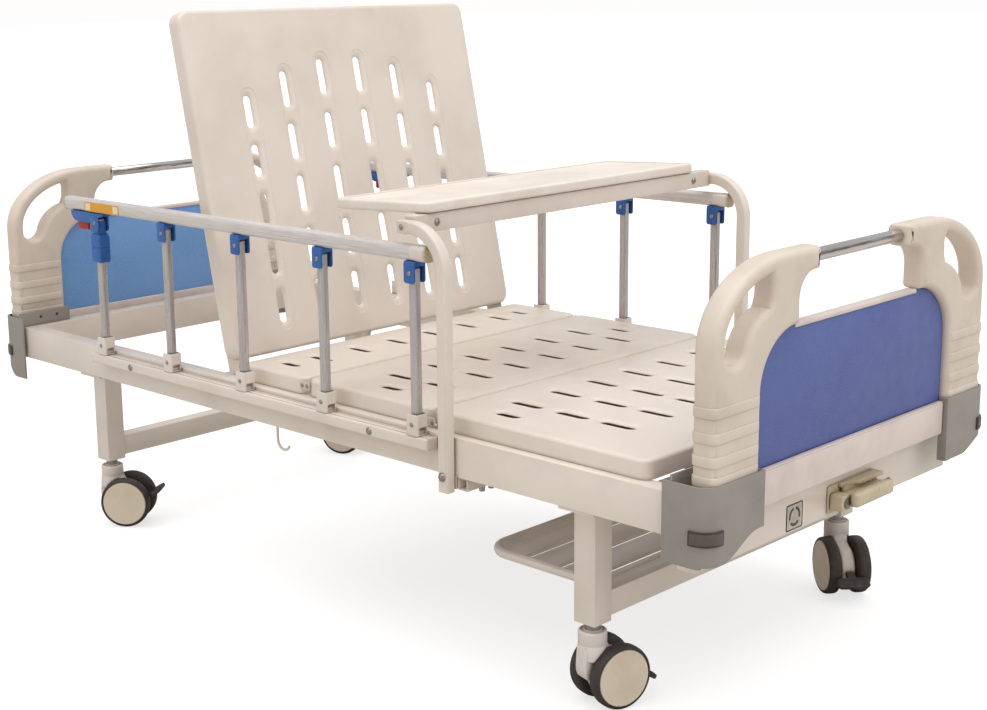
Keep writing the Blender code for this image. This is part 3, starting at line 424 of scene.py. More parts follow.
def plate(loops, plane, low, high, rounding=0.0, steps=3):
    """Closed outlines, holes included, extruded from `low` to `high` with rounded edges."""
    curve = bpy.data.curves.new("outline", "CURVE")
    curve.dimensions = "2D"
    curve.fill_mode = "BOTH"
    curve.extrude = abs(high - low) / 2 - rounding
    curve.bevel_depth = rounding
    curve.bevel_resolution = steps
    curve.offset = -rounding
    for loop in loops:
        spline = curve.splines.new("POLY")
        spline.points.add(len(loop) - 1)
        for point, (u, v) in zip(spline.points, loop):
            point.co = (u, v, 0.0, 1.0)
        spline.use_cyclic_u = True
    axis = "XYZ".index(({"X", "Y", "Z"} - set(plane)).pop())
    place = Vector((0, 0, 0))
    place[axis] = (low + high) / 2
    return curve_to_blank(curve, Matrix.Translation(place) @ PLANES[plane].to_4x4())


def arc(centre, radii, start, end, steps):
    """Points on an ellipse from one angle to another, in degrees."""
    points = []
    for i in range(steps + 1):
        angle = radians(start + (end - start) * i / steps)
        points.append((centre[0] + radii[0] * cos(angle), centre[1] + radii[1] * sin(angle)))
    return points


def rounded_rectangle(u, v, radius, steps=6):
    (u0, u1), (v0, v1) = sorted(u), sorted(v)
    size = (radius, radius)
    return (arc((u1 - radius, v0 + radius), size, -90, 0, steps)
            + arc((u1 - radius, v1 - radius), size, 0, 90, steps)
            + arc((u0 + radius, v1 - radius), size, 90, 180, steps)
            + arc((u0 + radius, v0 + radius), size, 180, 270, steps))


def pad(plane, u, v, corner, low, high, rounding=0.0, steps=3, turn=6):
    """A plate whose outline is a rounded rectangle."""
    return plate([rounded_rectangle(u, v, corner, turn)], plane, low, high, rounding, steps)


def flip(loop, sign):
    return [(sign * u, v) for u, v in loop]


def evaluated(obj):
    bpy.context.view_layer.update()
    mesh = bpy.data.meshes.new_from_object(obj.evaluated_get(bpy.context.evaluated_depsgraph_get()))
    mesh.transform(obj.matrix_world)
    return mesh


def fuse(parts, cuts=()):
    """Boolean union of `parts` less `cuts`."""
    base = parts[0]
    jobs = [(part, "UNION") for part in parts[1:]] + [(cut, "DIFFERENCE") for cut in cuts]
    for other, operation in jobs:
        modifier = base.modifiers.new(operation, "BOOLEAN")
        modifier.operation = operation
        modifier.solver = "EXACT"
        modifier.object = other
    mesh = evaluated(base)
    for used in [*parts, *cuts]:
        bpy.data.objects.remove(used, do_unlink=True)
    return blank(mesh)


def softened(shape, width, segments=2):
    """Round the sharp edges of a shape."""
    data = bmesh.new()
    data.from_mesh(shape.data)
    data.transform(shape.matrix_world)
    bpy.data.objects.remove(shape, do_unlink=True)
    bmesh.ops.remove_doubles(data, verts=data.verts, dist=WELD)
    bmesh.ops.dissolve_limit(data, angle_limit=radians(1.0), verts=data.verts, edges=data.edges)
    obj = from_bmesh(data)
    modifier = obj.modifiers.new("edges", "BEVEL")
    modifier.width = width
    modifier.segments = segments
    modifier.limit_method = "ANGLE"
    modifier.angle_limit = BEVEL_ANGLE
    modifier.use_clamp_overlap = True
    mesh = evaluated(obj)
    bpy.data.objects.remove(obj, do_unlink=True)
    return blank(mesh)


def show(name, shapes, body, material, stands_for=None, lift=True):
    """Join shapes into one visible piece that rides on a body."""
    data = bmesh.new()
    for shape in shapes if isinstance(shapes, list) else [shapes]:
        mesh = shape.data.copy()
        mesh.transform(shape.matrix_world)
        data.from_mesh(mesh)
        bpy.data.meshes.remove(mesh)
        bpy.data.objects.remove(shape, do_unlink=True)
    if lift:
        bmesh.ops.translate(data, vec=(0, 0, DATUM), verts=data.verts)
    mesh = bpy.data.meshes.new(name)
    data.to_mesh(mesh)
    data.free()
    mesh.materials.clear()
    mesh.materials.append(material)
    mesh.shade_smooth()
    mesh.set_sharp_from_angle(angle=SMOOTH_ANGLE)
    obj = bpy.data.objects.new(name, mesh)
    SHOWN.objects.link(obj)
    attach(obj, body)
    if stands_for:
        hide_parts(stands_for)


def node_body(name):
    for body, members in frame["record"]["behaviour"]["bodies"].items():
        if name in members:
            return body
    raise KeyError(name)


def stand_in(node, shapes, material, lift=True):
    """Show shapes in the place of a CAD node, on that node's body."""
    show(f"{node}_finished", shapes, node_body(node), material, node, lift)


def refined(node, width, material=IVORY):
    """Show a copy of a CAD node with rounded edges in its place."""
    stand_in(node, softened(blank(frame["nodes"][node].data.copy()), width), material, lift=False)


# ------------------------------------------------------------------ end boards
BOARD_MID, BOARD_HALF = 1.115, 0.025
HANDLE_TOP, HANDLE_HEIGHT = 0.872, 0.044
POST_BOTTOM, POST_BANDS = RAIL_TOP + 0.0025, (0.620, 0.575, 0.533, 0.497)


def post_outline():
    """Outline of a corner post with its handle arch, and of the handhold through it."""
    panel_side, web, outer = 0.338, 0.220, 0.480
    crown = (0.270, 0.726)
    radii = (outer - crown[0], HANDLE_TOP - crown[1])
    handle_end, handle_bottom, tip = 0.156, HANDLE_TOP - HANDLE_HEIGHT, 0.007
    corner = (web - 0.0005, 0.630)
    loop = [(panel_side, POST_BOTTOM), (outer, POST_BOTTOM)]
    loop += arc(crown, radii, 0, 90, 28)
    loop += arc((handle_end + tip, HANDLE_TOP - tip), (tip, tip), 90, 180, 5)
    loop += arc((handle_end + tip, handle_bottom + tip), (tip, tip), 180, 270, 5)
    loop += arc((web - 0.050, handle_bottom - 0.047), (0.050, 0.047), 90, 0, 10)
    loop += arc(corner, (panel_side - corner[0], 0.107), 90, 0, 16)
    hold = [(0.307, 0.797), (0.306, 0.825)]
    hold += arc(crown, (radii[0] - 0.030, radii[1] - 0.030), 76, -5, 16)
    hold += arc((0.421, 0.716), (0.029, 0.023), -15, -150, 10)
    hold += arc((0.290, 0.694), (0.103, 0.088), 12, 76, 10)
    return loop, hold


def build_end_board(end_name, end):
    middle = end * BOARD_MID
    outline, hold = post_outline()
    for side_name, side in SIDES.items():
        post = plate([flip(outline, side), flip(hold, side)], "YZ", *about(middle, BOARD_HALF), 0.0135, 5)
        bands = [pad("XY", about(middle, 0.0268), (side * 0.3395, side * 0.4818), 0.0145,
                     *about(z, 0.010), 0.0024, 2) for z in POST_BANDS]
        stand_in(f"{end_name}board_post_{side_name}", [post, *bands], BOARD)

    panel_side, web = 0.3375, 0.2190
    corner = arc((web, 0.630), (panel_side - web, 0.1064), 0, 90, 16)
    sheet = [(-panel_side, 0.450), (panel_side, 0.450)] + corner + flip(corner[::-1], -1)
    board = plate([sheet], "YZ", *about(middle, 0.009), 0.0008, 1)
    stand_in(f"{end_name}board_panel", board, BLUE_FOOT if end > 0 else BLUE_HEAD)
    lower = box((middle - end * 0.011, middle + end * 0.022), (-0.332, 0.332), (0.4175, 0.484), 0.003)
    ledge = box((middle + end * 0.010, middle + end * 0.0212), (-0.331, 0.331), (0.4835, 0.4865), 0.001)
    upper = pad("XZ", about(middle, 0.0115), (0.7275, 0.7368), 0.003, *about(0, web - 0.001), 0.001, 1)
    show(f"{end_name}board_trims", [lower, ledge, upper], "bed_frame", TRIM)
    bar_z = HANDLE_TOP - HANDLE_HEIGHT / 2
    bar = rod((middle, -0.170, bar_z), (middle, 0.170, bar_z), 0.0125, 40)
    stand_in(f"{end_name}board_bar", bar, CHROME)


# per sleeve: lowest height, plane of the lower edge, its depth range, where it bends, heights there
SLEEVE_CUTS = {"corner_sleeve_foot_right": (0.345, "YZ", (1.1265, 1.1565), (0.350, 0.460), (0.389, 0.349)),
               "corner_sleeve_foot_left": (0.360, "YZ", (1.0300, 1.1565), (0.400, 0.497), (0.3605, 0.391)),
               "corner_sleeve_head_right": (0.330, "XZ", (0.3200, 0.5120), (1.094, 1.142), (0.3305, 0.366)),
               "corner_sleeve_head_left": (0.345, "YZ", (1.1265, 1.1565), (0.350, 0.460), (0.389, 0.349))}
# drop of the dark insert below its reference height, and the sleeve that differs
INSERT_DROP, INSERT_DROPS = 0.018, {"corner_sleeve_foot_left": 0.004}


def wrap(x, y, corner, reach, proud):
    """A path round the sleeve's corner, `proud` of its surface."""
    centre, radius = (x - corner, y - corner), corner + proud
    bend = arc(centre, (radius, radius), 0, 90, 14)
    return [(x + proud, centre[1] - reach), *bend, (centre[0] - reach, y + proud)]


def build_sleeve(name, end, side):
    corner, wall = 0.035, 0.0045
    x, y, top = 1.1465, 0.502, 0.493
    inboard_x, inboard_y, base = 1.047, 0.3325, 0.320
    centre = (x - corner, y - corner)
    outer = [(inboard_x, y)] + arc(centre, (corner, corner), 90, 0, 14) + [(x, inboard_y)]
    inner = [(x - wall, inboard_y)] + arc(centre, (corner - wall, corner - wall), 0, 90, 14)
    inner.append((inboard_x, y - wall))
    low, plane, across, along, heights = SLEEVE_CUTS[name]
    shell = plate([[(end * u, side * v) for u, v in outer + inner]], "XY", low, top)
    flange = box((end * 1.1275, end * (x - 0.001)), (side * inboard_y, side * 0.3370), (low, top))
    back_plate = box((end * 1.0625, end * 1.0665), (side * 0.4995, side * 0.345), (RAIL_TOP + 0.0005, 0.505))
    under = [(along[0] - 0.05, base), (along[0] - 0.05, heights[0])]
    steps = 16
    for i in range(steps + 1):
        t = i / steps
        under.append((along[0] + (along[1] - along[0]) * t,
                      heights[0] + (heights[1] - heights[0]) * (3 * t * t - 2 * t ** 3)))
    under += [(along[1] + 0.06, heights[1] - 0.0005), (along[1] + 0.06, base)]
    sign, depth_sign = (side, end) if plane == "YZ" else (end, side)
    sweep = plate([flip(under, sign)], plane, *[depth_sign * value for value in across])
    body = softened(fuse([shell, back_plate, flange], [sweep]), 0.0016, 3)
    stand_in(name, body, SLEEVE)
    drop = INSERT_DROPS.get(name, INSERT_DROP)
    inserts = (("sides", INSERT, 0.0036, 0.0), ("window", INSERT_PALE, 0.0044, 0.0035))
    for part, material, proud, inset in inserts:
        ring = wrap(x, y, corner, 0.006 - inset, proud) + wrap(x, y, corner, 0.006 - inset, -0.002)[::-1]
        patch = plate([[(end * u, side * v) for u, v in ring]], "XY", 0.4050 - drop + inset,
                      0.4320 - drop - inset, 0.0009, 2)
        show(f"{name}_insert_{part}", patch, "bed_frame", material)
    screws = [dome((end * 1.0627, side * v, 0.489), (-end, 0, 0), 0.0042, 0.0016) for v in (0.385, 0.435)]
    show(f"{name}_screws", screws, "bed_frame", INSERT)


# ------------------------------------------------------------------ sleeping platform
PANEL_TOP, PANEL_UNDER, HALF_WIDTH = 0.506, RAIL_TOP + 0.0008, 0.466
SLOT_PITCH, SLOT_WIDTH, SHEET = 0.1214, 0.020, 0.003
BACK_PIVOT = (-0.195, 0.487)
BACK_ANGLE = radians(77.9)
# cross-sections round a slot: (distance outside the slot, depth below the sheet)
LIP = ((0.0130, 0.0000), (0.0105, 0.0003), (0.0080, 0.0009), (0.0055, 0.0018), (0.0030, 0.0030),
       (0.0010, 0.0042), (0.0000, 0.0056), (0.0000, 0.0070), (0.0014, 0.0070), (0.0050, 0.0052),
       (0.0130, 0.0030))
# a dark wall down inside each slot; its dark colour is painted shade
COLLAR = ((0.0000, 0.0060), (0.0000, 0.0150), (0.0012, 0.0150), (0.0012, 0.0060))


def slot_loop(x, y, length, width=SLOT_WIDTH):
    radius = width / 2
    straight = length / 2 - radius
    return (arc((x + straight, y), (radius, radius), -90, 90, 8)
            + arc((x - straight, y), (radius, radius), 90, 270, 8))


def columns():
    """The six slot columns: their Y and their number counted from the middle."""
    for number in range(3):
        for side in SIDES.values():
            yield side * SLOT_PITCH * (number + 0.5), number


def lip(slot, level, section=LIP):
    """A closed ring round one slot, with the given cross-section."""
    x, y, length = slot
    data = bmesh.new()
    rings = []
    for out, depth in section:
        loop = slot_loop(x, y, length + 2 * out, SLOT_WIDTH + 2 * out)
        rings.append([data.verts.new((u, v, level - depth)) for u, v in loop])
    for ring, after in zip(rings, rings[1:] + rings[:1]):
        for i in range(len(ring)):
            j = (i + 1) % len(ring)
            data.faces.new((ring[i], ring[j], after[j], after[i]))
    bmesh.ops.recalc_face_normals(data, faces=data.faces)
    return from_bmesh(data)


def pressed_pan(x, slots, under, top, corner=0.022, edge=0.008, pockets=(), pocket_depth=0.0):
    """The shapes of a sheet pan, open below, with drawn-in slot edges and shallow pockets."""
    body = pad("XY", x, about(0, HALF_WIDTH), corner, under - 0.02, top, edge, 4, 8)
    below = box((x[0] - 0.1, x[1] + 0.1), (-0.6, 0.6), (under - 0.1, under))
    hollow = pad("XY", (x[0] + SHEET, x[1] - SHEET), about(0, HALF_WIDTH - SHEET), corner - SHEET,
                 under - 0.03, top - SHEET, edge - SHEET, 4, 8)
    cuts = [below, hollow]
    if pockets:
        loops = [slot_loop(*pocket) for pocket in pockets]
        cuts.append(plate(loops, "XY", top - pocket_depth, top + 0.02, 0.003))
    shell = fuse([body], cuts)
    reach = 2 * LIP[0][0] - 0.0001
    loops = [slot_loop(u, v, length + reach, SLOT_WIDTH + reach) for u, v, length in slots]
    windows = plate(loops, "XY", under - 0.01, top + 0.02)
    return [fuse([shell], [windows]), *[lip(slot, top - pocket_depth) for slot in slots]]


def build_platform():
    # per section: its span, where each row of column slots lies and their length, where the side slots lie
    sections = {"seat_panel": ((-0.165, 0.055), (-0.069,), 0.074, -0.077),
                "thigh_panel": ((0.065, 0.439), (0.196, 0.314), 0.080, 0.254),
                "calf_panel": ((0.449, 0.990), (0.561, 0.681, 0.795), 0.082, 0.587)}
    for node, (span, rows, length, beside) in sections.items():
        slots = [(x, y, length) for y, _ in columns() for x in rows]
        slots += [(beside, y, 0.060) for y in (-0.389, 0.389)]
        stand_in(node, pressed_pan(span, slots, PANEL_UNDER, PANEL_TOP), IVORY)
        # dark walls inside the slots: painted shade
        collars = [lip(slot, PANEL_TOP, COLLAR) for slot in slots]
        show(f"{node}_slot_collars", collars, node_body(node), SLOT_SHADE)
    for node, x, z in (("seat_panel", 0.060, 0.490), ("thigh_panel", 0.444, 0.4785)):
        brackets, heads = [], []
        for side in SIDES.values():
            brackets.append(pad("XZ", about(x, 0.016), (z - 0.0085, z + 0.0105), 0.004,
                                side * 0.4662, side * 0.4684, 0.0004, 1))
            heads += [dome((u, side * 0.4684, z), (0, side, 0), 0.0048, 0.0028) for u in about(x, 0.008)]
        show(f"{node}_hinge_brackets", brackets, node_body(node), TRIM)
        show(f"{node}_hinge_bolts", heads, node_body(node), RIVET)


def build_backrest():
    """Drawn flat round its pivot, then raised."""
    raise_it = (Matrix.Translation((BACK_PIVOT[0], 0, BACK_PIVOT[1]))
                @ Matrix.Rotation(BACK_ANGLE, 4, "Y"))
    top, under = PANEL_TOP - BACK_PIVOT[1], PANEL_UNDER - BACK_PIVOT[1]
    # per column, counted from the middle
    first, pitch, length = (0.112, 0.108, 0.103), (0.131, 0.126, 0.1155), (0.086, 0.086, 0.076)
    slots, pockets = [], []
    for y, number in columns():
        rows = [-(0.018 + first[number] + row * pitch[number]) for row in range(5)]
        slots += [(x, y, length[number]) for x in rows]
        run = rows[0] - rows[-1] + length[number] + 0.030
        pockets.append(((rows[0] + rows[-1]) / 2, y + 0.002, run + 0.010, 0.050))
    shapes = pressed_pan((-0.824, -0.018), slots, under, top, 0.030, 0.009, pockets, 0.0010)
    for shape in shapes:
        shape.matrix_world = raise_it @ shape.matrix_world
    stand_in("backrest_panel", shapes, IVORY)
    refined("backrest_lift_frame", 0.0015)


# ------------------------------------------------------------------ frame
def build_frame():
    widths = {"main_frame": 0.0022, "head_leg_frame": 0.0022, "foot_leg_frame": 0.0022,
              "foot_end_panel": 0.0010, "shoe_rack": 0.0012, "drainage_hook": 0.0003}
    for node, width in widths.items():
        refined(node, width)
    refined("push_tube", 0.0008, STEEL)
    tube_x, tube_z, wall = (0.5415, 0.5665), (0.3620, 0.3870), 0.002
    core = box((tube_x[0] + wall, tube_x[1] - wall), (-0.6, 0.6), (tube_z[0] + wall, tube_z[1] - wall))
    cross = softened(fuse([box(tube_x, (-0.4880, 0.4880), tube_z)], [core]), 0.0008)
    show("frame_cross_tube", cross, "bed_frame", IVORY)
    nut_x = sum(tube_x) / 2
    nuts = [rod((nut_x, side * v, 0.349), (nut_x, side * v, 0.3625), 0.0065, 6)
            for side in SIDES.values() for v in (0.405, 0.432)]
    show("cross_tube_nuts", nuts, "bed_frame", RIVET)
    label_y, label_z = (-0.161, -0.105), (0.317, 0.369)
    label = pad("YZ", label_y, label_z, 0.004, *about(FRAME_END, 0.0004))
    centre = (sum(label_y) / 2, sum(label_z) / 2 + DATUM)
    show("turn_label", label, "bed_frame", patterned_label("arrow_label", centre, 0.0165))


# ------------------------------------------------------------------ guard rails
GUARD_POSTS = [-0.647 + 0.2735 * i for i in range(5)]
GUARD_Y, GUARD_FACE = 0.506, 0.5215
POST_Z = (0.4790, 0.8000)  # foot and head of a guard post


def build_guard(side_name, side):
    """The fixed lower bar with its shoes, and the five posts."""
    y, face = side * GUARD_Y, side * GUARD_FACE
    lower = pad("YZ", (side * 0.4903, face), GUARD_BAR_Z, 0.004, -0.691, 0.488)
    grooves = [box((-0.70, 0.50), about(y + s * 0.0075, 0.0014), (0.4585, 0.470)) for s in (-1, 1)]
    bar = softened(fuse([lower], grooves), 0.0006)
    shoes = []
    for x in GUARD_POSTS:
        block = pad("XY", about(x, 0.0165), (side * 0.4905, face), 0.004, 0.4612, 0.505, 0.0012, 2)
        well = box((x - 0.030, x + 0.0132), about(y, 0.0132), (0.4700, 0.510))
        mouth = box((x + 0.010, x + 0.020), about(y, 0.0105), (0.4640, 0.4790))
        shoes.append(fuse([block], [well, mouth]))
    stand_in(f"guard_lower_bar_{side_name}", [bar, *shoes], IVORY)
    heads = [dome((x, face, 0.484), (0, side, 0), 0.0050, 0.0026) for x in GUARD_POSTS]
    heads += [dome((x, face, 0.4475), (0, side, 0), 0.0082, 0.0036) for x in (-0.526, 0.321)]
    show(f"guard_base_rivets_{side_name}", heads, "bed_frame", RIVET)
    caps = [box(x, (side * 0.4912, side * 0.5208), (0.4368, 0.4602), 0.0008)
            for x in ((-0.6925, -0.6905), (0.4875, 0.4895))]
    show(f"guard_bar_caps_{side_name}", caps, "bed_frame", TRIM)

    for number, x in enumerate(GUARD_POSTS, start=1):
        post = pad("XY", about(x, 0.0100), about(y, 0.0100), 0.0070, *POST_Z, 0.002, 2, 7)
        stand_in(f"guard_post_{number}_{side_name}", post, ALUMINIUM)
    x = GUARD_POSTS[0]
    outline = [(x - 0.021, 0.697), (x - 0.019, 0.693), (x + 0.016, 0.693), (x + 0.019, 0.697),
               (x + 0.019, 0.758), (x + 0.010, 0.764), (x - 0.014, 0.764), (x - 0.021, 0.757)]
    grip = plate([outline], "XZ", *about(y, 0.0158), 0.004, 4)
    neck = pad("XZ", (x - 0.0100, x + 0.0105), (0.7600, 0.7975), 0.0050, *about(y, 0.0122), 0.002, 2)
    seam = box(about(x, 0.03), about(y, 0.02), (0.7300, 0.7307))
    grip = fuse([grip, neck], [seam])
    show(f"guard_grip_{side_name}", grip, f"guard_post_1_{side_name}", BLUE)


def clevis(x, y):
    """A folded U of two cheeks and a saddle under the hand rail."""
    cheeks = [pad("XZ", about(x, 0.015), (0.7705, 0.8145), 0.006,
                  y + sign * 0.0128, y + sign * 0.0162, 0.0008, 2) for sign in (-1, 1)]
    saddle = box(about(x, 0.0148), about(y, 0.0150), (0.8040, 0.8150), 0.0008)
    return [*cheeks, saddle]


def build_guard_top(side_name, side):
    """The hand rail with its clevises, release and sticker."""
    y = side * GUARD_Y
    top_body = f"guard_top_{side_name}"
    rail = pad("YZ", about(y, 0.015), (0.815, 0.846), 0.0095, -0.7765, 0.4700, turn=8)
    grooves = [box((-0.80, 0.50), about(y + s * 0.0150, 0.0006), (0.8260, 0.8275)) for s in (-1, 1)]
    stand_in(f"guard_top_rail_{side_name}", fuse([rail], grooves), RAIL_METAL)
    sleeve = pad("YZ", about(y, 0.0152), (0.8148, 0.8462), 0.0097, 0.4480, 0.4850, 0.0008, 2, 8)
    show(f"guard_rail_sleeve_{side_name}", sleeve, top_body, CASTER)
    caps = [pad("YZ", about(y, 0.0155), (0.8140, 0.8465), 0.0095, *x, 0.0015, 3, 8)
            for x in ((0.4846, 0.4892), (-0.7778, -0.7730))]
    show(f"guard_rail_caps_{side_name}", caps, top_body, CREAM)
    forks = [shape for x in GUARD_POSTS[1:] for shape in clevis(x, y)]
    show(f"guard_clevises_{side_name}", forks, top_body, BLUE)
    rivets = [dome((x, y + sign * 0.0162, 0.7905), (0, sign, 0), 0.0052, 0.0024)
              for x in GUARD_POSTS for sign in (-1, 1)]
    show(f"guard_clevis_rivets_{side_name}", rivets, top_body, RIVET)

    x, top = GUARD_POSTS[0], 0.8147
    arm = [(x - 0.101, top), (x - 0.098, 0.803), (x - 0.090, 0.794), (x - 0.078, 0.789), (x - 0.024, 0.7885),
           (x - 0.004, 0.7945), (x + 0.016, 0.8035), (x + 0.036, 0.8100), (x + 0.038, top)]
    body = plate([arm], "XZ", *about(y, 0.0158), 0.0015, 2)
    cheeks = [pad("XZ", (x - 0.0185, x + 0.0165), (0.7685, 0.8080), 0.008,
                  y + sign * 0.0130, y + sign * 0.0164, 0.0008, 2) for sign in (-1, 1)]
    room = box((x - 0.0145, x + 0.060), about(y, 0.0128), (0.760, 0.8045))
    trigger_room = box((x - 0.0808, x - 0.0332), about(y, 0.0108), (0.780, 0.8032))
    bracket = fuse([body, *cheeks], [room, trigger_room])
    stand_in(f"guard_release_bracket_{side_name}", bracket, BLUE)
    trigger = pad("XZ", (x - 0.0795, x - 0.0345), (0.7700, 0.7955), 0.0045, *about(y, 0.0100), 0.0022)
    stand_in(f"guard_release_trigger_{side_name}", trigger, RED)
    field = pad("XZ", (x - 0.039, x + 0.106), (0.8175, 0.8405), 0.002, y + side * 0.0146, y + side * 0.0154)
    show(f"guard_sticker_{side_name}", field, top_body, YELLOW)
    marks = [pad("XZ", (x + a, x + b), (0.8205, 0.8375), 0.0015, y + side * 0.0150, y + side * 0.0157)
             for a, b in ((-0.034, -0.014), (0.082, 0.102))]
    show(f"guard_sticker_fields_{side_name}", marks, top_body, STICKER_PALE)


# ------------------------------------------------------------------ over-bed table
def build_table():
    pivot, table_y, half = (0.5265, 0.391), 0.505, 0.0125
    bend, arm_z, arm_end = 0.085, 0.8795, 0.412
    centre = (pivot[0] - bend, arm_z - bend)
    outer, inner = bend + half, bend - half
    outline = [(pivot[0] - half, pivot[1] - 0.033), (pivot[0] + half, pivot[1] - 0.033)]
    outline += arc(centre, (outer, outer), 0, 90, 20)
    outline += [(arm_end, arm_z + half), (arm_end, arm_z - half)] + arc(centre, (inner, inner), 90, 0, 18)
    arms = [plate([outline], "XZ", *about(side * table_y, half), 0.0045, 4) for side in SIDES.values()]
    reach = table_y - half + 0.003
    crossbar = box((0.410, 0.436), (-reach, reach), (0.8625, 0.9005), 0.0025)
    stand_in("table_frame", [*arms, crossbar], IVORY)
    plugs, bolts = [], []
    for side in SIDES.values():
        plugs.append(box((0.4095, 0.4365), (side * 0.4915, side * 0.5180), (0.8660, 0.8925), 0.002))
        bolts.append(dome((pivot[0], side * 0.5172, pivot[1]), (0, side, 0), 0.0092, 0.0070))
        bolts.append(dome((0.4362, side * 0.430, 0.881), (1, 0, 0), 0.0075, 0.0045))
        bolts.append(dome((0.4233, side * 0.5178, 0.8795), (0, side, 0), 0.0062, 0.0035))
    show("table_arm_plugs", plugs, "table_arch", TRIM)
    show("table_bolts", bolts, "table_arch", RIVET)

    hinge, depth, sag = (0.4395, 0.9015), 0.270, radians(2.5)
    tray = pad("XY", (-depth, 0.005), (-0.470, 0.428), 0.026, 0.0003, 0.0223, 0.0055, 4, 8)
    pocket = pad("XY", (-depth + 0.020, -0.016), (-0.452, 0.410), 0.014, 0.0205, 0.03, 0.0012, 2, 8)
    shape = fuse([tray], [pocket])
    shape.matrix_world = (Matrix.Translation((hinge[0], 0, hinge[1])) @ Matrix.Rotation(-sag, 4, "Y")
                          @ shape.matrix_world)
    stand_in("table_board", shape, TRAY)


# ------------------------------------------------------------------ crank
SCREW_Z = 0.343


def build_crank():
    mount = pad("YZ", (-0.020, 0.149), (0.3187, 0.3744), 0.004, FRAME_END, FRAME_END + 0.0035, 0.0008, 2)
    stand_in("crank_mount", mount, CREAM)
    screw = rod((-0.030, 0, SCREW_Z), (1.10, 0, SCREW_Z), 0.008, 28)
    boss = rod((1.115, 0, SCREW_Z), (1.1205, 0, SCREW_Z), 0.0095, 28)
    stand_in("lead_screw", [screw, boss], STEEL)
    hub = pad("YZ", (-0.016, 0.016), (0.327, 0.3595), 0.005, 1.0885, 1.1165, 0.003, 2)
    show("crank_hub", hub, "crank", CREAM)
    bar = pad("YZ", (0.0165, 0.149), (0.330, 0.357), 0.006, 1.0925, 1.116, 0.003)
    web = box((1.0925, 1.0975), (0.0205, 0.145), (0.355, 0.368))
    hood = [(1.088, 0.0165), (1.094, 0.0165), (1.0948, 0.030), (1.096, 0.040), (1.100, 0.054),
            (1.1055, 0.064), (1.1085, 0.078), (1.109, 0.149), (1.088, 0.149)]
    cover = plate([hood], "XY", 0.366, 0.3744, 0.0015, 2)
    stand_in("crank_arm", [bar, web, cover], CREAM)
    grip = pad("XY", (1.1178, 1.1385), (0.004, 0.1463), 0.0103, 0.335, 0.365, 0.008, 5, 8)
    stand_in("crank_grip", grip, CREAM)
    pin = rod((1.12815, 0.136, 0.3335), (1.12815, 0.136, 0.3665), 0.0035, 20)
    show("crank_grip_pin", pin, "folding_grip", RIVET)


# ------------------------------------------------------------------ casters
LEG_X, LEG_Y = {1: 0.842, -1: -0.758}, 0.436
# per corner: end, side, heading of the trail and tilt of the pedal in degrees
CASTERS = {"foot_right": (1, -1, 74.3, 32), "head_right": (-1, -1, 39.1, -32),
           "foot_left": (1, 1, -39.6, 32), "head_left": (-1, 1, 203, -32)}
TRAIL, WHEEL = 0.041, 0.064
PEDAL = (0.085, 0.068)
# cross-sections of turned shapes: (distance along the axis, radius)
HOUSING = ((0.100, 0.0), (0.100, 0.0278), (0.1285, 0.0280), (0.1292, 0.0276), (0.1300, 0.0276),
           (0.1307, 0.0280), (0.1545, 0.0280), (0.1565, 0.0262), (0.1565, 0.0232), (0.1545, 0.0225),
           (0.1545, 0.0190), (0.1590, 0.0180), (0.1590, 0.0))
NECK = ((0.1565, 0), (0.1565, 0.0160), (0.1680, 0.0135), (0.1740, 0.0135), (0.1740, 0))
WELL = ((0.0172, 0), (0.0172, 0.0652), (0.06, 0.0652), (0.06, 0))
TYRE = ((0.0180, 0.0), (0.0180, 0.0530), (0.0190, 0.0590), (0.0215, 0.0622), (0.0260, 0.0638),
        (0.0330, 0.0640), (0.0400, 0.0638), (0.0445, 0.0625), (0.0470, 0.0600), (0.0474, 0.0575),
        (0.0455, 0.0568), (0.0455, 0.0))
WHEEL_CAP = ((0.0440, 0.0), (0.0440, 0.0560), (0.0462, 0.0562), (0.0478, 0.0550), (0.0480, 0.0530),
             (0.0476, 0.0505), (0.0472, 0.0300), (0.0470, 0.0))


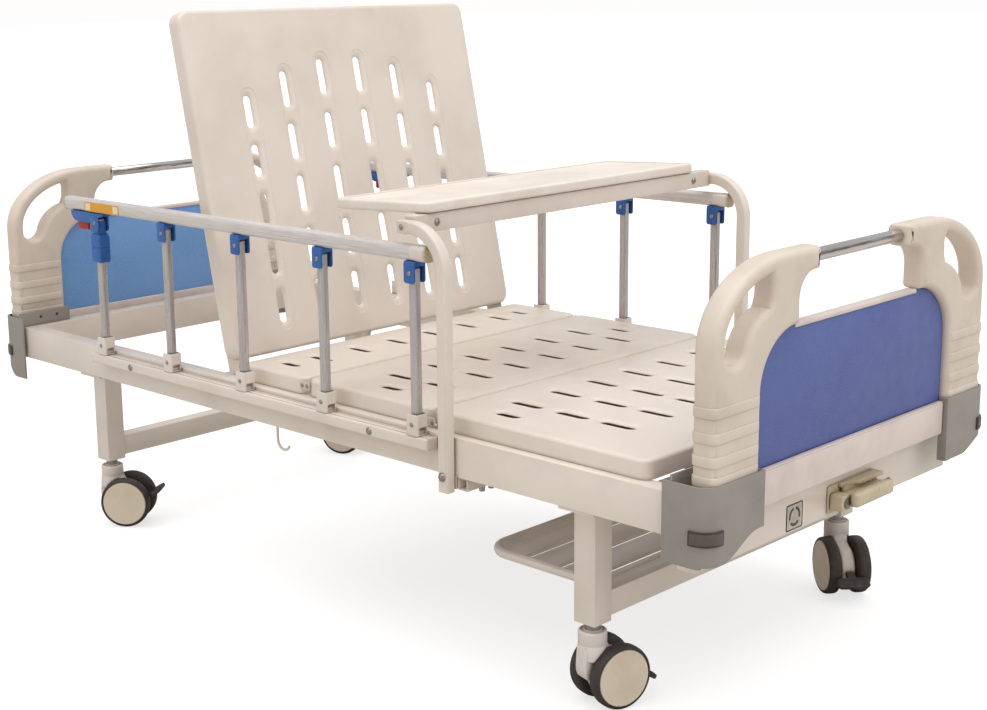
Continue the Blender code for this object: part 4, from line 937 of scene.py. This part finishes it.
def caster_shapes():
    """Kind, shapes, body, material and slot; the swivel axis is at x = y = 0 and the floor at z = 0."""
    axle = (TRAIL, 0, WHEEL)
    outline = [(-0.0268, 0.127), (-0.0288, 0.104), (-0.0300, 0.086), (-0.0292, 0.074), (-0.0262, 0.066),
               (-0.0205, 0.061), (-0.0140, 0.058)]
    outline += arc((TRAIL, WHEEL), (0.047, 0.047), 200, 425, 30) + [(0.034, 0.114), (0.0272, 0.127)]
    web = plate([outline], "XZ", -0.0165, 0.0165, 0.006, 4)
    wells = [lathe(WELL, axle, (0, sign, 0), 56) for sign in (-1, 1)]
    fork = fuse([lathe(HOUSING, (0, 0, 0), (0, 0, 1), 48), web], wells)
    neck = lathe(NECK, (0, 0, 0), (0, 0, 1))
    tyres = [lathe(TYRE, axle, (0, sign, 0), 72) for sign in (-1, 1)]
    tyres.append(rod((TRAIL, -0.020, WHEEL), (TRAIL, 0.020, WHEEL), 0.0050, 20))
    discs = [lathe(WHEEL_CAP, axle, (0, sign, 0), 72) for sign in (-1, 1)]
    x, z = PEDAL
    near = [(x + 0.0250, -0.030), (x + 0.033, -0.037), (x + 0.046, -0.037), (x + 0.052, -0.030)]
    tread = [*near, (x + 0.0535, 0.0), *[(u, -v) for u, v in near[::-1]]]
    paddle = plate([tread], "XY", *about(z, 0.0048), 0.003)
    ribs = [box((x + 0.030 + i * 0.005, x + 0.0322 + i * 0.005), (-0.028, 0.028),
                (z + 0.0040, z + 0.0058), 0.0005) for i in range(4)]
    shank = box((x + 0.0085, x + 0.032), (-0.0095, 0.0095), about(z, 0.004), 0.0012)
    return (("fork", [fork], "caster", CASTER, "caster_grey"),
            ("neck", [neck], "caster", STEEL, "zinc_steel"),
            ("wheels", tyres, "wheels", RUBBER, "black_rubber"),
            ("discs", discs, "wheels", DISC, "ivory_plastic"),
            ("pedal", [shank, paddle, *ribs], "pedal", RUBBER, "black_rubber"))


def build_casters():
    for corner, (end, side, heading, tilt) in CASTERS.items():
        stand = Matrix.Translation((LEG_X[end], side * LEG_Y, 0)) @ Matrix.Rotation(radians(heading), 4, "Z")
        hinge = Matrix.Translation((PEDAL[0], 0, PEDAL[1]))
        tilted = stand @ hinge @ Matrix.Rotation(radians(tilt), 4, "Y") @ hinge.inverted()
        for kind, shapes, body, material, slot in caster_shapes():
            for shape in shapes:
                shape.matrix_world = (tilted if kind == "pedal" else stand) @ shape.matrix_world
            node = f"caster_{kind}_{corner}"
            stands_for = node if kind in ("fork", "wheels", "pedal") else None
            show(f"{node}_finished", shapes, f"{body}_{corner}", material, stands_for, lift=False)


# ------------------------------------------------------------------ stage
def in_scene(name, data):
    made = bpy.data.objects.new(name, data)
    bpy.context.scene.collection.objects.link(made)
    return made


def build_stage():
    """A floor and a world that the camera sees as white, and three soft suns."""
    data = bmesh.new()
    bmesh.ops.create_grid(data, x_segments=1, y_segments=1, size=60.0)
    mesh = bpy.data.meshes.new("floor")
    data.to_mesh(mesh)
    data.free()
    floor = in_scene("floor", mesh)
    surface = Finish("studio_floor", (200, 196, 190), 0.8)
    surface.mottle((194, 190, 184), 1.5)
    seen = surface.node("ShaderNodeLightPath").outputs["Is Camera Ray"]
    surface.tint(seen, (172, 172, 172))
    surface.shader.inputs["Emission Color"].default_value = (1.0, 1.0, 1.0, 1.0)
    surface.link(surface.maths("MULTIPLY", seen, 0.68), surface.shader.inputs["Emission Strength"])
    mesh.materials.append(surface.done())

    world = bpy.data.worlds.new("studio")
    world.use_nodes = True
    links, nodes = world.node_tree.links, world.node_tree.nodes
    background = nodes["Background"]
    background.inputs[0].default_value = (1.0, 0.985, 0.97, 1.0)
    strength = nodes.new("ShaderNodeMapRange")
    strength.inputs["To Min"].default_value = 0.56
    strength.inputs["To Max"].default_value = 1.0
    links.new(nodes.new("ShaderNodeLightPath").outputs["Is Camera Ray"], strength.inputs["Value"])
    links.new(strength.outputs[0], background.inputs[1])
    bpy.context.scene.world = world
    # where from, energy, apparent size in degrees
    lamps = {"overhead": ((0.5, -0.4, 6.0), 1.95, 75), "foot_side": ((6.0, 0.8, 3.5), 0.50, 40),
             "near_side": ((-2.0, -6.0, 3.0), 0.28, 40)}
    for name, (place, power, spread) in lamps.items():
        light = bpy.data.lights.new(name, "SUN")
        light.angle = radians(spread)
        light.energy = power
        lamp = in_scene(name, light)
        lamp.location = place
        lamp.rotation_euler = (-Vector(place)).to_track_quat("-Z", "Y").to_euler()


def build_camera():
    """The picture's viewpoint, as fitted; angles in radians, the rest in pixels."""
    azimuth, elevation, roll = 0.8035, 0.2031, -0.0189
    focal, width, height, centre = 1607.3, 987, 710, (399.86, 317.99)
    sensor = 36.0
    ahead = Vector((-sin(azimuth) * cos(elevation), cos(azimuth) * cos(elevation), -sin(elevation)))
    right = ahead.cross(Vector((0, 0, 1))).normalized()
    up = right.cross(ahead)
    across = right * cos(roll) + up * sin(roll)
    upward = -right * sin(roll) + up * cos(roll)
    data = bpy.data.cameras.new("camera")
    data.sensor_fit = "HORIZONTAL"
    data.sensor_width = sensor
    data.lens = focal / width * sensor
    data.shift_x = (width / 2 - centre[0]) / width
    data.shift_y = (centre[1] - height / 2) / width
    data.clip_end = 200.0
    camera = in_scene("camera", data)
    matrix = Matrix((across, upward, -ahead)).transposed().to_4x4()
    matrix.translation = (2.6626, -2.6852, 1.3401 + DATUM)
    camera.matrix_world = matrix
    bpy.context.scene.camera = camera
    bpy.context.scene.view_settings.view_transform = "Standard"


# ------------------------------------------------------------------ the whole bed
build_frame()
for end_name, end in ENDS.items():
    build_end_board(end_name, end)
    for side_name, side in SIDES.items():
        build_sleeve(f"corner_sleeve_{end_name}_{side_name}", end, side)
build_platform()
build_backrest()
for side_name, side in SIDES.items():
    build_guard(side_name, side)
    build_guard_top(side_name, side)
build_table()
build_crank()
build_casters()
build_stage()
build_camera()
